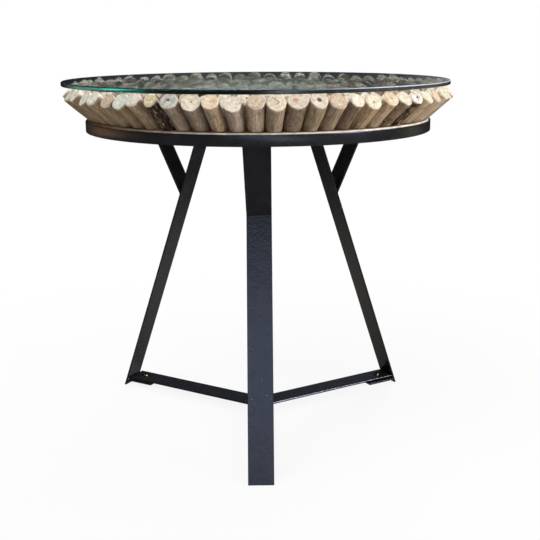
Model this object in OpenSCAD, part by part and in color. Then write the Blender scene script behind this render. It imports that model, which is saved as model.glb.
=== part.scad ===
// Round side table: a black steel frame of flat bar carries a board in a rolled hoop.
// Driftwood sticks stand on the board, lean outwards at the rim, and carry a loose round glass.
// Millimetres, +Z up. The origin is on the floor under the middle of the board.

/* [Glass] */
// Diameter of the glass top
glass_d = 610; // [580:5:640]
// Thickness of the glass top
glass_t = 6; // [5:0.5:10]
// Width of the polished bevel on both edges of the glass
glass_bevel = 0.8; // [0.4:0.1:1.4]
// How far the loose glass lies to the left of the middle
glass_shift = 3; // [0:0.5:6]

/* [Board and hoop] */
// Outer diameter of the steel hoop round the board
hoop_d = 547; // [510:1:570]
// Height of the steel hoop
hoop_h = 16; // [12:1:22]
// Thickness of the board that the sticks stand on
board_t = 16; // [12:0.5:20]
// Gap between the edge of the board and the hoop
board_gap = 0.4; // [0.3:0.1:1]

/* [Driftwood] */
// Height of the stick bed, from the board to the glass
bed_h = 51.5; // [44:0.5:60]
// Diameter of a stick that fills its usual place in a row
stick_d = 22.9; // [19:0.1:26]
// Part by which the place of a stick may be wider or narrower than usual
place_spread = 0.07; // [0:0.01:0.1]
// Part of its diameter by which a stick may be thinner than its place, at most
thin_spread = 0.14; // [0:0.01:0.2]
// Part of its diameter by which a stick grows towards its upper end, at most
stick_flare = 0.07; // [0:0.01:0.1]
// Gap between two neighbours that fill their places, at the board
stick_gap = 1.1; // [1:0.1:2.5]
// Smallest gap between two rows, at the board
row_gap = 0.8; // [0.6:0.1:3]
// Lean of the rim sticks from upright, in degrees
rim_lean_angle = 48.5; // [42:0.5:51]
// How far the rim sticks stand in from the edge of the board
rim_inset = 0.6; // [0.3:0.1:4]
// Most that a stick leans more or less than its row, in degrees
lean_angle_spread = 1; // [0:0.1:1.2]
// Most that a stick leans sideways, in degrees
side_angle_spread = 1.2; // [0:0.1:1.4]
// Most that the end of a rim stick lies below the glass
rim_drop = 3; // [1:0.5:5]
// Most that the end of an inner stick lies below the glass
bed_drop = 6; // [1:0.5:12]
// How far the longest sticks are planed down to lie level under the glass
planed = 1.5; // [0.5:0.1:3]

/* [Steel frame] */
// Height of the frame, from the floor to the underside of the hoop
frame_h = 488; // [420:1:560]
// Width of the flat bar
bar_w = 38; // [30:1:45]
// Thickness of the flat bar
bar_t = 3.2; // [2.5:0.1:5]
// Distance from the middle to a foot, on the floor
foot_r = 281; // [240:1:300]
// Distance from the middle to the top of a leg bar
leg_top_r = 100; // [80:1:120]
// Distance from the outside of the hoop in to the top of a brace
brace_inset = 70.5; // [56:0.5:90]
// Height at which a brace is welded to its leg bar
joint_h = 371; // [340:1:395]
// How far a top strap reaches inwards past its leg bar
strap_reach = 20; // [10:1:30]
// How far the front brace is welded out of square, to the left, in degrees
front_slant_angle = 2.8; // [0:0.1:3.5]

/* [Feet and stretcher] */
// Height of the underside of the left foot tab, the highest one, above the floor
tab_h = 8.8; // [8:0.1:13]
// How much lower the front foot tab is welded
front_tab_drop = 1.2; // [0:0.1:3]
// How much lower the right foot tab is welded
right_tab_drop = 3.4; // [0:0.1:3.6]
// How far a foot tab reaches in from the foot of its leg
tab_reach = 59; // [50:1:70]
// Thickness of the washer between the left tab and its stretcher arm; the others are thicker
washer_t = 0.6; // [0.5:0.1:2]
// Outer diameter of the washers
washer_d = 18; // [14:0.5:24]
// Distance from the foot of a leg in to its bolt
bolt_inset = 30; // [24:0.5:38]
// Gap between the end of a stretcher arm and its leg bar
arm_gap = 0.5; // [0.3:0.1:2]
// How far the left stretcher arm is welded out of true, in degrees
left_turn = 0.9; // [0:0.1:1]
// Gap at the welded mitres where the arms meet in the middle
mitre_gap = 0.6; // [0.4:0.1:1]

/* [Fasteners] */
// Thread diameter of the foot bolts
bolt_d = 6; // [5:0.5:8]
// Diameter of the domed bolt heads
head_d = 11; // [9:0.5:14]
// Height of the domed bolt heads
head_h = 3.3; // [2.5:0.1:4.5]
// Width across the flats of the foot nuts
nut_w = 10; // [9:0.5:14]
// Height of the foot nuts
nut_h = 4; // [3:0.1:4.4]
// Thread diameter of the screws that hold the board
screw_d = 4; // [3:0.5:5]
// How deep a screw goes into the board
screw_depth = 11; // [8:0.5:11]
// Head diameter of the board screws
screw_head_d = 8; // [6.5:0.5:10]
// Head height of the board screws
screw_head_h = 2.4; // [1.5:0.1:3]
// How much wider than its bolt or screw a hole in the steel is
hole_gap = 0.6; // [0.3:0.1:1]
// How much wider than its thread a nut or a pilot hole is
thread_gap = 0.1; // [0.05:0.05:0.2]

/* [Hidden] */

// Directions of the three legs round the table, in degrees from +X
front_az = -90;
right_az = 30;
left_az = 150;
legs = [front_az, right_az, left_az];

// Directions of the three stretcher arms, and how much lower their foot tabs lie, in the same order
arms = [front_az, right_az, left_az - left_turn];
tab_drops = [front_tab_drop, right_tab_drop, 0];
// Half the angle between two arms, at which their ends are mitred
mitre_angle = 60;

// Heights, each from what lies below it
strap_top = frame_h + bar_t;
board_top = strap_top + board_t;
glass_z = board_top + bed_h;
arm_z = tab_h + bar_t + washer_t;
arm_top = arm_z + bar_t;

// Radii of the hoop's inner wall and of the board
hoop_inner_r = hoop_d / 2 - bar_t;
board_r = hoop_inner_r - board_gap;

// Slopes of the leg bars and braces, as run per rise, and half their level thickness
leg_slope = (foot_r - leg_top_r) / frame_h;
leg_half = bar_t / 2 * sqrt(1 + leg_slope * leg_slope);
joint_r = foot_r - joint_h * leg_slope;
brace_top_r = hoop_d / 2 - brace_inset;
brace_slope = (brace_top_r - joint_r) / (frame_h - joint_h);
brace_half = bar_t / 2 * sqrt(1 + brace_slope * brace_slope);

// Radii of the foot bolts and of the free ends of the foot tabs
bolt_r = foot_r - bolt_inset;
tab_end_r = foot_r - tab_reach;

// Places of the board screws along a strap: between its leg bar and brace, and outside the brace
screw_radii = [(leg_top_r + brace_top_r) / 2, (brace_top_r + hoop_inner_r) / 2];

// Sectors that the sticks are counted in, and the first one's start, in degrees from +X
sectors = 16;
first_az = -90.8;
// Turn of each row of sticks against the one outside it, in degrees
row_turn = 17;
// How fast the lean of the rows falls off towards the middle: above 1, slowly at first
lean_exponent = 1.25;

// Edges of the stick rows on the board
place_w = stick_d + stick_gap;
stick_max = place_w * (1 + place_spread) - stick_gap;
rim_edge = board_r - rim_inset;
centre_edge = stick_d / 2 + row_gap;
loose_rows = row_edges(rim_edge, row_gap);
spare = inner_edge(loose_rows[len(loose_rows) - 1], row_gap) - centre_edge;
even_gap = row_gap + spare / len(loose_rows);
rows = row_edges(rim_edge, even_gap);

// Number from 0 to 1 that looks random but is the same each time
function scatter(i, seed) =
    let (v = sin(i * 127.1 + seed * 311.7) * 43758.5453)
    v - floor(v);

// The same from -amount to amount
function vary(i, seed, amount) = (2 * scatter(i, seed) - 1) * amount;

// Lean of a row from the radius of its outer edge: full at the rim, upright in the middle
function row_lean(edge) = rim_lean_angle * (1 - pow(1 - edge / rim_edge, lean_exponent));

// Inner edge of a row, from its outer edge and the gap behind it
function inner_edge(edge, gap) = edge - stick_max / cos(row_lean(edge)) - gap;

// Outer edges of all rows that fit between a radius and the centre stick
function row_edges(edge, gap) =
    inner_edge(edge, gap) < centre_edge ? []
    : concat([edge], row_edges(inner_edge(edge, gap), gap));

// How many sticks stand in a row
function row_mid(row) = rows[row] - stick_d / 2 / cos(row_lean(rows[row]));
function row_count(row) = floor(360 / (2 * asin(place_w / 2 / row_mid(row))));

// Where a row starts in the scattered numbers: each row takes a different stretch of them
function row_seed(row) = 445 + 40 * row;

// Relative widths of the places in a row, and the sum of the first ones
function share(row, i) = 1 + vary(i, row_seed(row), place_spread);
function share_sum(row, i) = i == 0 ? 0 : share_sum(row, i - 1) + share(row, i - 1);

// Angle of a stick's place in its row, and the direction of its middle
function stick_angle(row, i) = 360 * share(row, i) / share_sum(row, row_count(row));
function stick_az(row, i) =
    first_az + row_turn * row
    + 360 * (share_sum(row, i) + share(row, i) / 2 - share(row, 0) / 2)
    / share_sum(row, row_count(row));

// Diameter of a stick at the board: the room in its place, or somewhat less
function stick_size(row, i) =
    (2 * row_mid(row) * sin(stick_angle(row, i) / 2) - stick_gap)
    * (1 - scatter(i, row_seed(row) + 1) * thin_spread);

// Radius of the leg bar's inner face at a height
function leg_inner_r(z) = foot_r - leg_half - z * leg_slope;

// Height at which a side of the brace, given by its top radius, meets the leg bar's outer face
function brace_foot(top_r) =
    (foot_r + leg_half - top_r + frame_h * brace_slope) / (brace_slope + leg_slope);

// Plate as wide as the bar, from an outline in radius and height
module radial_plate(outline) {
    rotate([90, 0, 0])
        linear_extrude(bar_w, center = true)
            polygon(outline);
}

// Copies of a piece at the three legs
module at_legs() {
    for (az = legs)
        rotate([0, 0, az])
            children();
}

// Hole for a foot bolt in a piece of the bar that lies at a height
module bolt_hole(z, az) {
    rotate([0, 0, az])
        translate([bolt_r, 0, z - 1])
            cylinder(h = bar_t + 2, d = bolt_d + hole_gap, $fn = 24);
}

module glass_top() {
    r = glass_d / 2;
    color([0.72, 0.86, 0.82, 0.4])
        translate([-glass_shift, 0, glass_z])
            rotate_extrude($fn = 180)
                polygon([
                    [0, 0],
                    [r - glass_bevel, 0],
                    [r, glass_bevel],
                    [r, glass_t - glass_bevel],
                    [r - glass_bevel, glass_t],
                    [0, glass_t]
                ]);
}

module base_board() {
    color("burlywood")
        difference() {
            translate([0, 0, strap_top])
                cylinder(h = board_t, r = board_r, $fn = 180);
            at_legs()
                for (r = screw_radii)
                    translate([r, 0, strap_top - 1])
                        cylinder(h = screw_depth + 1, d = screw_d + thread_gap, $fn = 24);
        }
}

module rim_hoop() {
    color([0.13, 0.13, 0.14])
        translate([0, 0, frame_h])
            difference() {
                cylinder(h = hoop_h, d = hoop_d, $fn = 180);
                translate([0, 0, -1])
                    cylinder(h = hoop_h + 2, r = hoop_inner_r, $fn = 180);
            }
}

module top_strap(az) {
    start = leg_top_r - strap_reach;
    color([0.13, 0.13, 0.14])
        rotate([0, 0, az])
            difference() {
                intersection() {
                    translate([start, -bar_w / 2, frame_h])
                        cube([hoop_inner_r, bar_w, bar_t]);
                    translate([0, 0, frame_h - 1])
                        cylinder(h = bar_t + 2, r = hoop_inner_r, $fn = 180);
                }
                for (r = screw_radii)
                    translate([r, 0, frame_h - 1])
                        cylinder(h = bar_t + 2, d = screw_d + hole_gap, $fn = 24);
            }
}

module leg_bar(az) {
    color([0.15, 0.15, 0.16])
        rotate([0, 0, az])
            radial_plate([
                [foot_r - leg_half, 0],
                [foot_r + leg_half, 0],
                [leg_top_r + leg_half, frame_h],
                [leg_top_r - leg_half, frame_h]
            ]);
}

module leg_brace(az, slant) {
    spare_h = bar_t;
    outer_z = brace_foot(brace_top_r + brace_half);
    inner_z = brace_foot(brace_top_r - brace_half);
    top_r = brace_top_r + spare_h * brace_slope;
    lean = atan(leg_slope);
    color([0.13, 0.13, 0.14])
        rotate([0, 0, az])
            intersection() {
                translate([joint_r, 0, joint_h])
                    rotate([0, -lean, 0])
                        rotate([slant, 0, 0])
                            rotate([0, lean, 0])
                                translate([-joint_r, 0, -joint_h])
                                    radial_plate([
                                        [foot_r + leg_half - outer_z * leg_slope, outer_z],
                                        [top_r + brace_half, frame_h + spare_h],
                                        [top_r - brace_half, frame_h + spare_h],
                                        [foot_r + leg_half - inner_z * leg_slope, inner_z]
                                    ]);
                translate([0, -bar_w, 0])
                    cube([hoop_inner_r, 2 * bar_w, frame_h]);
            }
}

module foot_tab(leg) {
    low = tab_h - tab_drops[leg];
    high = low + bar_t;
    color([0.13, 0.13, 0.14])
        difference() {
            rotate([0, 0, legs[leg]])
                radial_plate([
                    [tab_end_r, low],
                    [leg_inner_r(low), low],
                    [leg_inner_r(high), high],
                    [tab_end_r, high]
                ]);
            bolt_hole(low, arms[leg]);
        }
}

module stretcher_arm(leg) {
    start = mitre_gap / 2 / sin(mitre_angle);
    mitre = start + bar_w / 2 / tan(mitre_angle);
    turn = abs(arms[leg] - legs[leg]);
    end = leg_inner_r(arm_top) - arm_gap - bar_w / 2 * sin(turn);
    color([0.13, 0.13, 0.14])
        difference() {
            rotate([0, 0, arms[leg]])
                translate([0, 0, arm_z])
                    linear_extrude(bar_t)
                        polygon([
                            [start, 0],
                            [mitre, -bar_w / 2],
                            [end, -bar_w / 2],
                            [end, bar_w / 2],
                            [mitre, bar_w / 2]
                        ]);
            bolt_hole(arm_z, arms[leg]);
        }
}

module foot_bolts() {
    dome_r = (head_d * head_d / 4 + head_h * head_h) / (2 * head_h);
    color([0.55, 0.4, 0.28])
        for (leg = [0:2])
            rotate([0, 0, arms[leg]])
                translate([bolt_r, 0, 0]) {
                    translate([0, 0, tab_h - tab_drops[leg] - nut_h])
                        cylinder(h = arm_top - tab_h + tab_drops[leg] + nut_h, d = bolt_d, $fn = 24);
                    intersection() {
                        translate([0, 0, arm_top])
                            cylinder(h = head_h, d = head_d, $fn = 32);
                        translate([0, 0, arm_top + head_h - dome_r])
                            sphere(r = dome_r, $fn = 64);
                    }
                }
}

module foot_washers() {
    color([0.2, 0.2, 0.2])
        for (leg = [0:2])
            rotate([0, 0, arms[leg]])
                translate([bolt_r, 0, arm_z - washer_t - tab_drops[leg]])
                    difference() {
                        cylinder(h = washer_t + tab_drops[leg], d = washer_d, $fn = 32);
                        translate([0, 0, -1])
                            cylinder(h = washer_t + tab_drops[leg] + 2, d = bolt_d + hole_gap, $fn = 24);
                    }
}

module foot_nuts() {
    color([0.55, 0.55, 0.57])
        for (leg = [0:2])
            rotate([0, 0, arms[leg]])
                translate([bolt_r, 0, tab_h - tab_drops[leg] - nut_h])
                    difference() {
                        cylinder(h = nut_h, d = nut_w / cos(30), $fn = 6);
                        translate([0, 0, -1])
                            cylinder(h = nut_h + 2, d = bolt_d + thread_gap, $fn = 24);
                    }
}

module board_screws() {
    color([0.55, 0.55, 0.57])
        at_legs()
            for (r = screw_radii)
                translate([r, 0, 0]) {
                    translate([0, 0, frame_h - screw_head_h])
                        cylinder(h = screw_head_h, d = screw_head_d, $fn = 32);
                    translate([0, 0, frame_h - 0.5])
                        cylinder(h = bar_t + screw_depth, d = screw_d, $fn = 24);
                }
}

// One stick: a slightly flared round, sawn flat on the board and planed level under the glass
module stick(row, i) {
    seed = row_seed(row);
    lean = row_lean(rows[row]) + vary(i, seed + 2, lean_angle_spread);
    base_d = stick_size(row, i);
    end_d = base_d * (1 + scatter(i, seed + 3) * stick_flare);
    base_r = rows[row] - base_d / 2 / cos(lean);
    drop = row == 0 ? rim_drop : bed_drop;
    end_z = glass_z - end_d / 2 * sin(lean) + planed - scatter(i, seed + 4) * (drop + planed);
    length = (end_z - board_top) / cos(lean);
    below = base_d / 2 * tan(lean) + 1;
    intersection() {
        rotate([0, 0, stick_az(row, i)])
            translate([base_r, 0, board_top])
                rotate([vary(i, seed + 5, side_angle_spread), lean, 0])
                    translate([0, 0, -below])
                        cylinder(h = below + length, d1 = base_d, d2 = end_d, $fn = 32);
        translate([0, 0, board_top])
            cylinder(h = bed_h, r = hoop_d, $fn = 32);
    }
}

// The sticks of one row that stand in one of the sectors
module row_sector(row, sector) {
    count = row_count(row);
    first = ceil(sector * count / sectors);
    last = ceil((sector + 1) * count / sectors) - 1;
    if (last >= first)
        for (i = [first:last])
            stick(row, i);
}

module rim_sticks(sector) {
    color([0.78, 0.69, 0.55])
        row_sector(0, sector);
}

module bed_sticks(sector) {
    color([0.7, 0.62, 0.5])
        for (row = [1:len(rows) - 1])
            row_sector(row, sector);
}

module centre_stick() {
    color([0.7, 0.62, 0.5])
        translate([0, 0, board_top])
            cylinder(h = bed_h, d = stick_d, $fn = 32);
}

glass_top();
base_board();
rim_hoop();
top_strap(front_az);  // front_top_strap
top_strap(right_az);  // right_top_strap
top_strap(left_az);  // left_top_strap
leg_bar(front_az);  // front_leg_bar
leg_bar(right_az);  // right_leg_bar
leg_bar(left_az);  // left_leg_bar
leg_brace(front_az, front_slant_angle);  // front_leg_brace
leg_brace(right_az, 0);  // right_leg_brace
leg_brace(left_az, 0);  // left_leg_brace
foot_tab(0);  // front_foot_tab
foot_tab(1);  // right_foot_tab
foot_tab(2);  // left_foot_tab
stretcher_arm(0);  // front_stretcher_arm
stretcher_arm(1);  // right_stretcher_arm
stretcher_arm(2);  // left_stretcher_arm
foot_bolts();
foot_washers();
foot_nuts();
board_screws();
centre_stick();
rim_sticks(0);  // rim_sticks_01
rim_sticks(1);  // rim_sticks_02
rim_sticks(2);  // rim_sticks_03
rim_sticks(3);  // rim_sticks_04
rim_sticks(4);  // rim_sticks_05
rim_sticks(5);  // rim_sticks_06
rim_sticks(6);  // rim_sticks_07
rim_sticks(7);  // rim_sticks_08
rim_sticks(8);  // rim_sticks_09
rim_sticks(9);  // rim_sticks_10
rim_sticks(10);  // rim_sticks_11
rim_sticks(11);  // rim_sticks_12
rim_sticks(12);  // rim_sticks_13
rim_sticks(13);  // rim_sticks_14
rim_sticks(14);  // rim_sticks_15
rim_sticks(15);  // rim_sticks_16
bed_sticks(0);  // bed_sticks_01
bed_sticks(1);  // bed_sticks_02
bed_sticks(2);  // bed_sticks_03
bed_sticks(3);  // bed_sticks_04
bed_sticks(4);  // bed_sticks_05
bed_sticks(5);  // bed_sticks_06
bed_sticks(6);  // bed_sticks_07
bed_sticks(7);  // bed_sticks_08
bed_sticks(8);  // bed_sticks_09
bed_sticks(9);  // bed_sticks_10
bed_sticks(10);  // bed_sticks_11
bed_sticks(11);  // bed_sticks_12
bed_sticks(12);  // bed_sticks_13
bed_sticks(13);  // bed_sticks_14
bed_sticks(14);  // bed_sticks_15
bed_sticks(15);  // bed_sticks_16
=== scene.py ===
# %% [markdown]
# # Driftwood side table
# A round side table about 565 mm high. Three legs of black flat bar carry a rolled hoop with a board
# in it. On the board stand some 280 short driftwood sticks, and on the sticks lies a loose disc of
# glass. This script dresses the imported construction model: flat bars, nuts and washers keep their
# solids and get rounded arrises, while wood, glass, board, hoop, bolts and screws are surfaces worked
# out with numpy. One length unit is the metre, and sizes are written in millimetres times `mm`.

# %% Load the construction model
import math

import bpy
import numpy as np
from mathutils import Matrix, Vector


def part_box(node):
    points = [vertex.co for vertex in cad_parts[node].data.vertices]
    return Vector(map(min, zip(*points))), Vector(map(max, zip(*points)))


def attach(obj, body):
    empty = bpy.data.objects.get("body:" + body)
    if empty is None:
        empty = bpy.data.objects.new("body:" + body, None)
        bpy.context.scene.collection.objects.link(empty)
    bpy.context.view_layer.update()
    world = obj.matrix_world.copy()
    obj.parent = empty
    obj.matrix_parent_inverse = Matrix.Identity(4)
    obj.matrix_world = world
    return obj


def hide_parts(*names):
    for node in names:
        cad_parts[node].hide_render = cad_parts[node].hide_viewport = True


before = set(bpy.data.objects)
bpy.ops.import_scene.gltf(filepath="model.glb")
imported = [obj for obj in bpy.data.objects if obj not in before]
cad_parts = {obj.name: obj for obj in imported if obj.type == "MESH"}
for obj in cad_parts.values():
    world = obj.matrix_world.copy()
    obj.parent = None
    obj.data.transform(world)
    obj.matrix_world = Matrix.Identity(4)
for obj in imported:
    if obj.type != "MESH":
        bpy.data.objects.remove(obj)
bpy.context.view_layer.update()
mm = 0.001
print("construction nodes:", len(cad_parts))

# %% [markdown]
# ## Heights and radii that the pieces share
# Nothing here is typed twice: the board, the hoop and the glass are read from the construction
# model, so that every new surface starts from the same planes as the solid that it stands for.

# %% Read the driving sizes
glass_low, glass_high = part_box("glass_top")
board_low, board_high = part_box("base_board")
hoop_low, hoop_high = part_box("rim_hoop")
strap_low, strap_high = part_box("front_top_strap")
board_top = board_high.z
glass_under = glass_low.z
bar_thickness = strap_high.z - strap_low.z
bar_width = strap_high.x - strap_low.x
hoop_radius = (hoop_high.x - hoop_low.x) / 2
board_radius = (board_high.x - board_low.x) / 2
print("stick bed:", round((glass_under - board_top) / mm, 1), "mm high")
print("flat bar:", round(bar_width / mm, 1), "x", round(bar_thickness / mm, 1), "mm")

# %% [markdown]
# ## Helpers for shader nodes
# A material is a small graph. One function adds any node: its properties come as keywords, its
# inputs as a dictionary of values or of other nodes' outputs, so a graph reads like a recipe.
# Colours are written as the hex values that a colour picker shows and turned to linear light here.

# %% Colour and node helpers
def linear(hex_colour):
    """Linear RGBA of an sRGB hex colour: c / 12.92 for dark values, else ((c + 0.055) / 1.055) ^ 2.4."""
    srgb = np.array([int(hex_colour[i:i + 2], 16) for i in (1, 3, 5)]) / 255
    light = np.where(srgb <= 0.04045, srgb / 12.92, ((srgb + 0.055) / 1.055) ** 2.4)
    return (float(light[0]), float(light[1]), float(light[2]), 1.0)


def add_node(tree, kind, inputs=(), stops=(), **settings):
    """Adds one shader node. inputs maps a socket's identifier to a value or to another node's output,
    stops are (place, hex colour) pairs of a colour ramp, and settings are the node's properties."""
    node = tree.nodes.new("ShaderNode" + kind)
    for name, value in settings.items():
        setattr(node, name, value)
    sockets = {socket.identifier: socket for socket in node.inputs}
    for name, value in dict(inputs).items():
        if isinstance(value, bpy.types.NodeSocket):
            tree.links.new(value, sockets[name])
        else:
            sockets[name].default_value = value
    for index, (place, colour) in enumerate(stops):
        elements = node.color_ramp.elements
        element = elements[index] if index < 2 else elements.new(place)
        element.position = place
        element.color = linear(colour)
    return node


def empty_material(name):
    """A material whose graph holds no nodes yet, and that graph."""
    material = bpy.data.materials.new(name)
    material.use_nodes = True
    material.node_tree.nodes.clear()
    return material, material.node_tree


print("mid grey #808080 in linear light:", round(linear("#808080")[0], 3))

# %% [markdown]
# ## Helpers for surfaces
# Most new pieces are a stack of rings: every ring has the same number of points, quads join each
# ring to the next, and a flat many-sided face closes each end. A lathe shape, a rod and a bead of
# weld are all such stacks, and only the formula for the ring points differs.

# %% Surface helpers
def ring_faces(rings, around, first=0, closed=False):
    """Faces of a stack of rings: quads (i, j), (i, j+1), (i+1, j+1), (i+1, j), with j wrapping round.
    A closed stack joins its last ring to its first; an open one gets a flat face at each end."""
    row = np.arange(rings if closed else rings - 1)[:, None]
    column = np.arange(around)[None, :]
    above = (row + 1) % rings
    right = (column + 1) % around
    quads = np.stack([row * around + column, row * around + right,
                      above * around + right, above * around + column], axis=-1)
    faces = (quads.reshape(-1, 4) + first).tolist()
    if not closed:
        ring = np.arange(around)
        faces.append((ring[::-1] + first).tolist())
        faces.append((ring + (rings - 1) * around + first).tolist())
    return faces


def make_mesh(name, points, faces, materials, sharp_degrees=35):
    """A mesh object at the origin from points in metres, smooth except at edges sharper than given."""
    mesh = bpy.data.meshes.new(name)
    mesh.from_pydata(np.asarray(points, float).reshape(-1, 3).tolist(), [], faces)
    for material in materials:
        mesh.materials.append(material)
    mesh.shade_smooth()
    mesh.set_sharp_from_angle(angle=math.radians(sharp_degrees))
    mesh.update()
    piece = bpy.data.objects.new(name, mesh)
    bpy.context.scene.collection.objects.link(piece)
    return piece


def lathe_points(profile, around, wobble=0.0):
    """Points of a turned shape: ring k has radius profile[k, 0] and height profile[k, 1], and wobble,
    an array over (ring, angle) or 0, is added to the radius."""
    angle = np.linspace(0, 2 * np.pi, around, endpoint=False)[None, :]
    radius = profile[:, 0][:, None] + wobble + 0 * angle
    height = profile[:, 1][:, None] + 0 * angle
    return np.stack([radius * np.cos(angle), radius * np.sin(angle), height], axis=-1)


def arc(centre, radius, start, end, steps):
    """Points on a circle round centre from angle start to end, in degrees, as an array (steps, 2)."""
    angle = np.radians(np.linspace(start, end, steps))
    return np.asarray(centre) + radius * np.stack([np.cos(angle), np.sin(angle)], axis=-1)


def fit_out(piece, slot, *nodes):
    """Ties a new piece to the one rigid body and hides the solids it stands for. Slot, the name of its
    finish, is not used.
    """
    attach(piece, "root")
    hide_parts(*nodes)


print("faces of a stack of 3 rings of 8 points:", len(ring_faces(3, 8)))

# %% [markdown]
# ## Camera
# The photograph looks slightly down on the table from a metre and a half away. The lens and the
# tilt were found by matching the hoop, the glass edge and the three feet, so the script only states
# where the camera stands and how far it is turned.

# %% Camera
camera_place = np.array([0.0, -1505.0, 632.0]) * mm
pitch_down, yaw_right, roll = np.radians([14.23, 0.67, -0.29])
# millimetres, as on a camera's own scale
lens_length, film_width = 61.7, 36

forward = np.array([np.sin(yaw_right) * np.cos(pitch_down), np.cos(yaw_right) * np.cos(pitch_down),
                    -np.sin(pitch_down)])
level_right = np.array([np.cos(yaw_right), -np.sin(yaw_right), 0.0])
level_up = np.cross(level_right, forward)
camera_right = np.cos(roll) * level_right + np.sin(roll) * level_up
camera_up = np.cos(roll) * level_up - np.sin(roll) * level_right

camera_data = bpy.data.cameras.new("camera")
camera_data.sensor_width = film_width
camera_data.lens = lens_length
camera_data.clip_start = 0.05
camera = bpy.data.objects.new("camera", camera_data)
bpy.context.scene.collection.objects.link(camera)
placement = np.eye(4)
placement[:3, :3] = np.stack([camera_right, camera_up, -forward], axis=1)
placement[:3, 3] = camera_place
camera.matrix_world = Matrix(placement.tolist())
bpy.context.scene.camera = camera
bpy.context.scene.view_settings.view_transform = "Standard"
print("camera pitch", round(math.degrees(pitch_down), 2), "degrees down")

# %% [markdown]
# ## Floor and white surroundings
# The table stands in a plain white room. To matt surfaces the world gives a weak fill light, which
# is dimmer and browner from the left, as on the photographed wood. For what the camera, a mirror or
# glass sees it is plain white. The floor is a real diffuse surface that bounces light up under the
# hoop. For the camera most of it is plain white, so that it meets the background without a line,
# and near the table it still shows a faint shadow.

# %% World and floor
right_light, left_light = 0.3, 0.12
# x of the directions, -1 for left and 1 for right, between which the fill light changes
leftmost, rightmost = -0.8, 0.8
# share of real, shaded floor that the camera sees near the table, and where it begins to fade and
# where it is gone, in metres from the middle
shadow_share = 0.11
shadow_start, shadow_end = 0.2, 1.0
floor_half = 8.0


def seen_rays(tree):
    """1 for rays that show something to the eye, straight, mirrored or refracted, and 0 for those that
    only gather light: the largest of the ray's camera, glossy and transmission marks."""
    path = add_node(tree, "LightPath")
    unrefracted = add_node(tree, "Math", {"Value": path.outputs["Is Camera Ray"],
                                          "Value_001": path.outputs["Is Glossy Ray"]}, operation="MAXIMUM")
    return add_node(tree, "Math", {"Value": unrefracted.outputs[0],
                                   "Value_001": path.outputs["Is Transmission Ray"]}, operation="MAXIMUM")


world = bpy.data.worlds.new("white_room")
bpy.context.scene.world = world
world.use_nodes = True
tree = world.node_tree
tree.nodes.clear()
seen = seen_rays(tree)
heading = add_node(tree, "SeparateXYZ", {"Vector": add_node(tree, "TexCoord").outputs["Generated"]})
side = add_node(tree, "MapRange", {"Value": heading.outputs["X"], "From Min": leftmost,
                                   "From Max": rightmost})
room = add_node(tree, "MapRange", {"Value": side.outputs[0], "To Min": left_light, "To Max": right_light})
tint = add_node(tree, "Mix", {"Factor_Float": side.outputs[0], "A_Color": linear("#e8c298"),
                              "B_Color": linear("#ffffff")}, data_type="RGBA")
tint = add_node(tree, "Mix", {"Factor_Float": seen.outputs[0], "A_Color": tint.outputs[2],
                              "B_Color": linear("#ffffff")}, data_type="RGBA")
strength = add_node(tree, "MapRange", {"Value": seen.outputs[0], "To Min": room.outputs[0], "To Max": 1.0})
background = add_node(tree, "Background", {"Color": tint.outputs[2], "Strength": strength.outputs["Result"]})
add_node(tree, "OutputWorld", {"Surface": background.outputs[0]})

floor_paint, tree = empty_material("matt_white_floor_paint")
seen = seen_rays(tree)
place = add_node(tree, "TexCoord")
distance = add_node(tree, "VectorMath", {"Vector": place.outputs["Object"]}, operation="LENGTH")
whiteness = add_node(tree, "MapRange", {"Value": distance.outputs["Value"], "From Min": shadow_start,
                                        "From Max": shadow_end, "To Min": 1 - shadow_share, "To Max": 1.0})
whiteness = add_node(tree, "Math", {"Value": whiteness.outputs[0], "Value_001": seen.outputs[0]},
                     operation="MULTIPLY")
matt = add_node(tree, "BsdfDiffuse", {"Color": linear("#dcdcdc")})
white = add_node(tree, "Emission", {"Color": linear("#ffffff"), "Strength": 1.0})
mix = add_node(tree, "MixShader", {"Fac": whiteness.outputs[0], "Shader": matt.outputs[0],
                                   "Shader_001": white.outputs[0]})
add_node(tree, "OutputMaterial", {"Surface": mix.outputs[0]})

corners = np.array([[-1, -1, 0], [1, -1, 0], [1, 1, 0], [-1, 1, 0]]) * floor_half
floor = make_mesh("floor", corners, [[0, 1, 2, 3]], [floor_paint])
print("floor:", 2 * floor_half, "m square")

# %% [markdown]
# ## Dark tent for reflections
# Black paint and glass show what stands round them more than their own colour. The photographed
# table stood in a dark studio: its steel is nearly black where it faces the floor or the sides, has
# a cool sheen where it faces a window, and the glass shows dusk along its far edge. A dome that
# only mirrored and refracted rays can see gives that: dark all over, with a few soft patches of
# light. It has one set of patches for what steel and the glass's skin mirror, and one for what the
# glass shows by refraction. The hoop's upright wall mirrors the patches 6 degrees below level, the
# front leg the one at 15, and the rounded edges of the foot bars the small strong one at 38.

# %% Reflection dome
dome_radius, dome_centre = 3.4, 0.4
dome_rings, dome_around = 179, 180
dome_colour = linear("#1d1f24")
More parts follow.
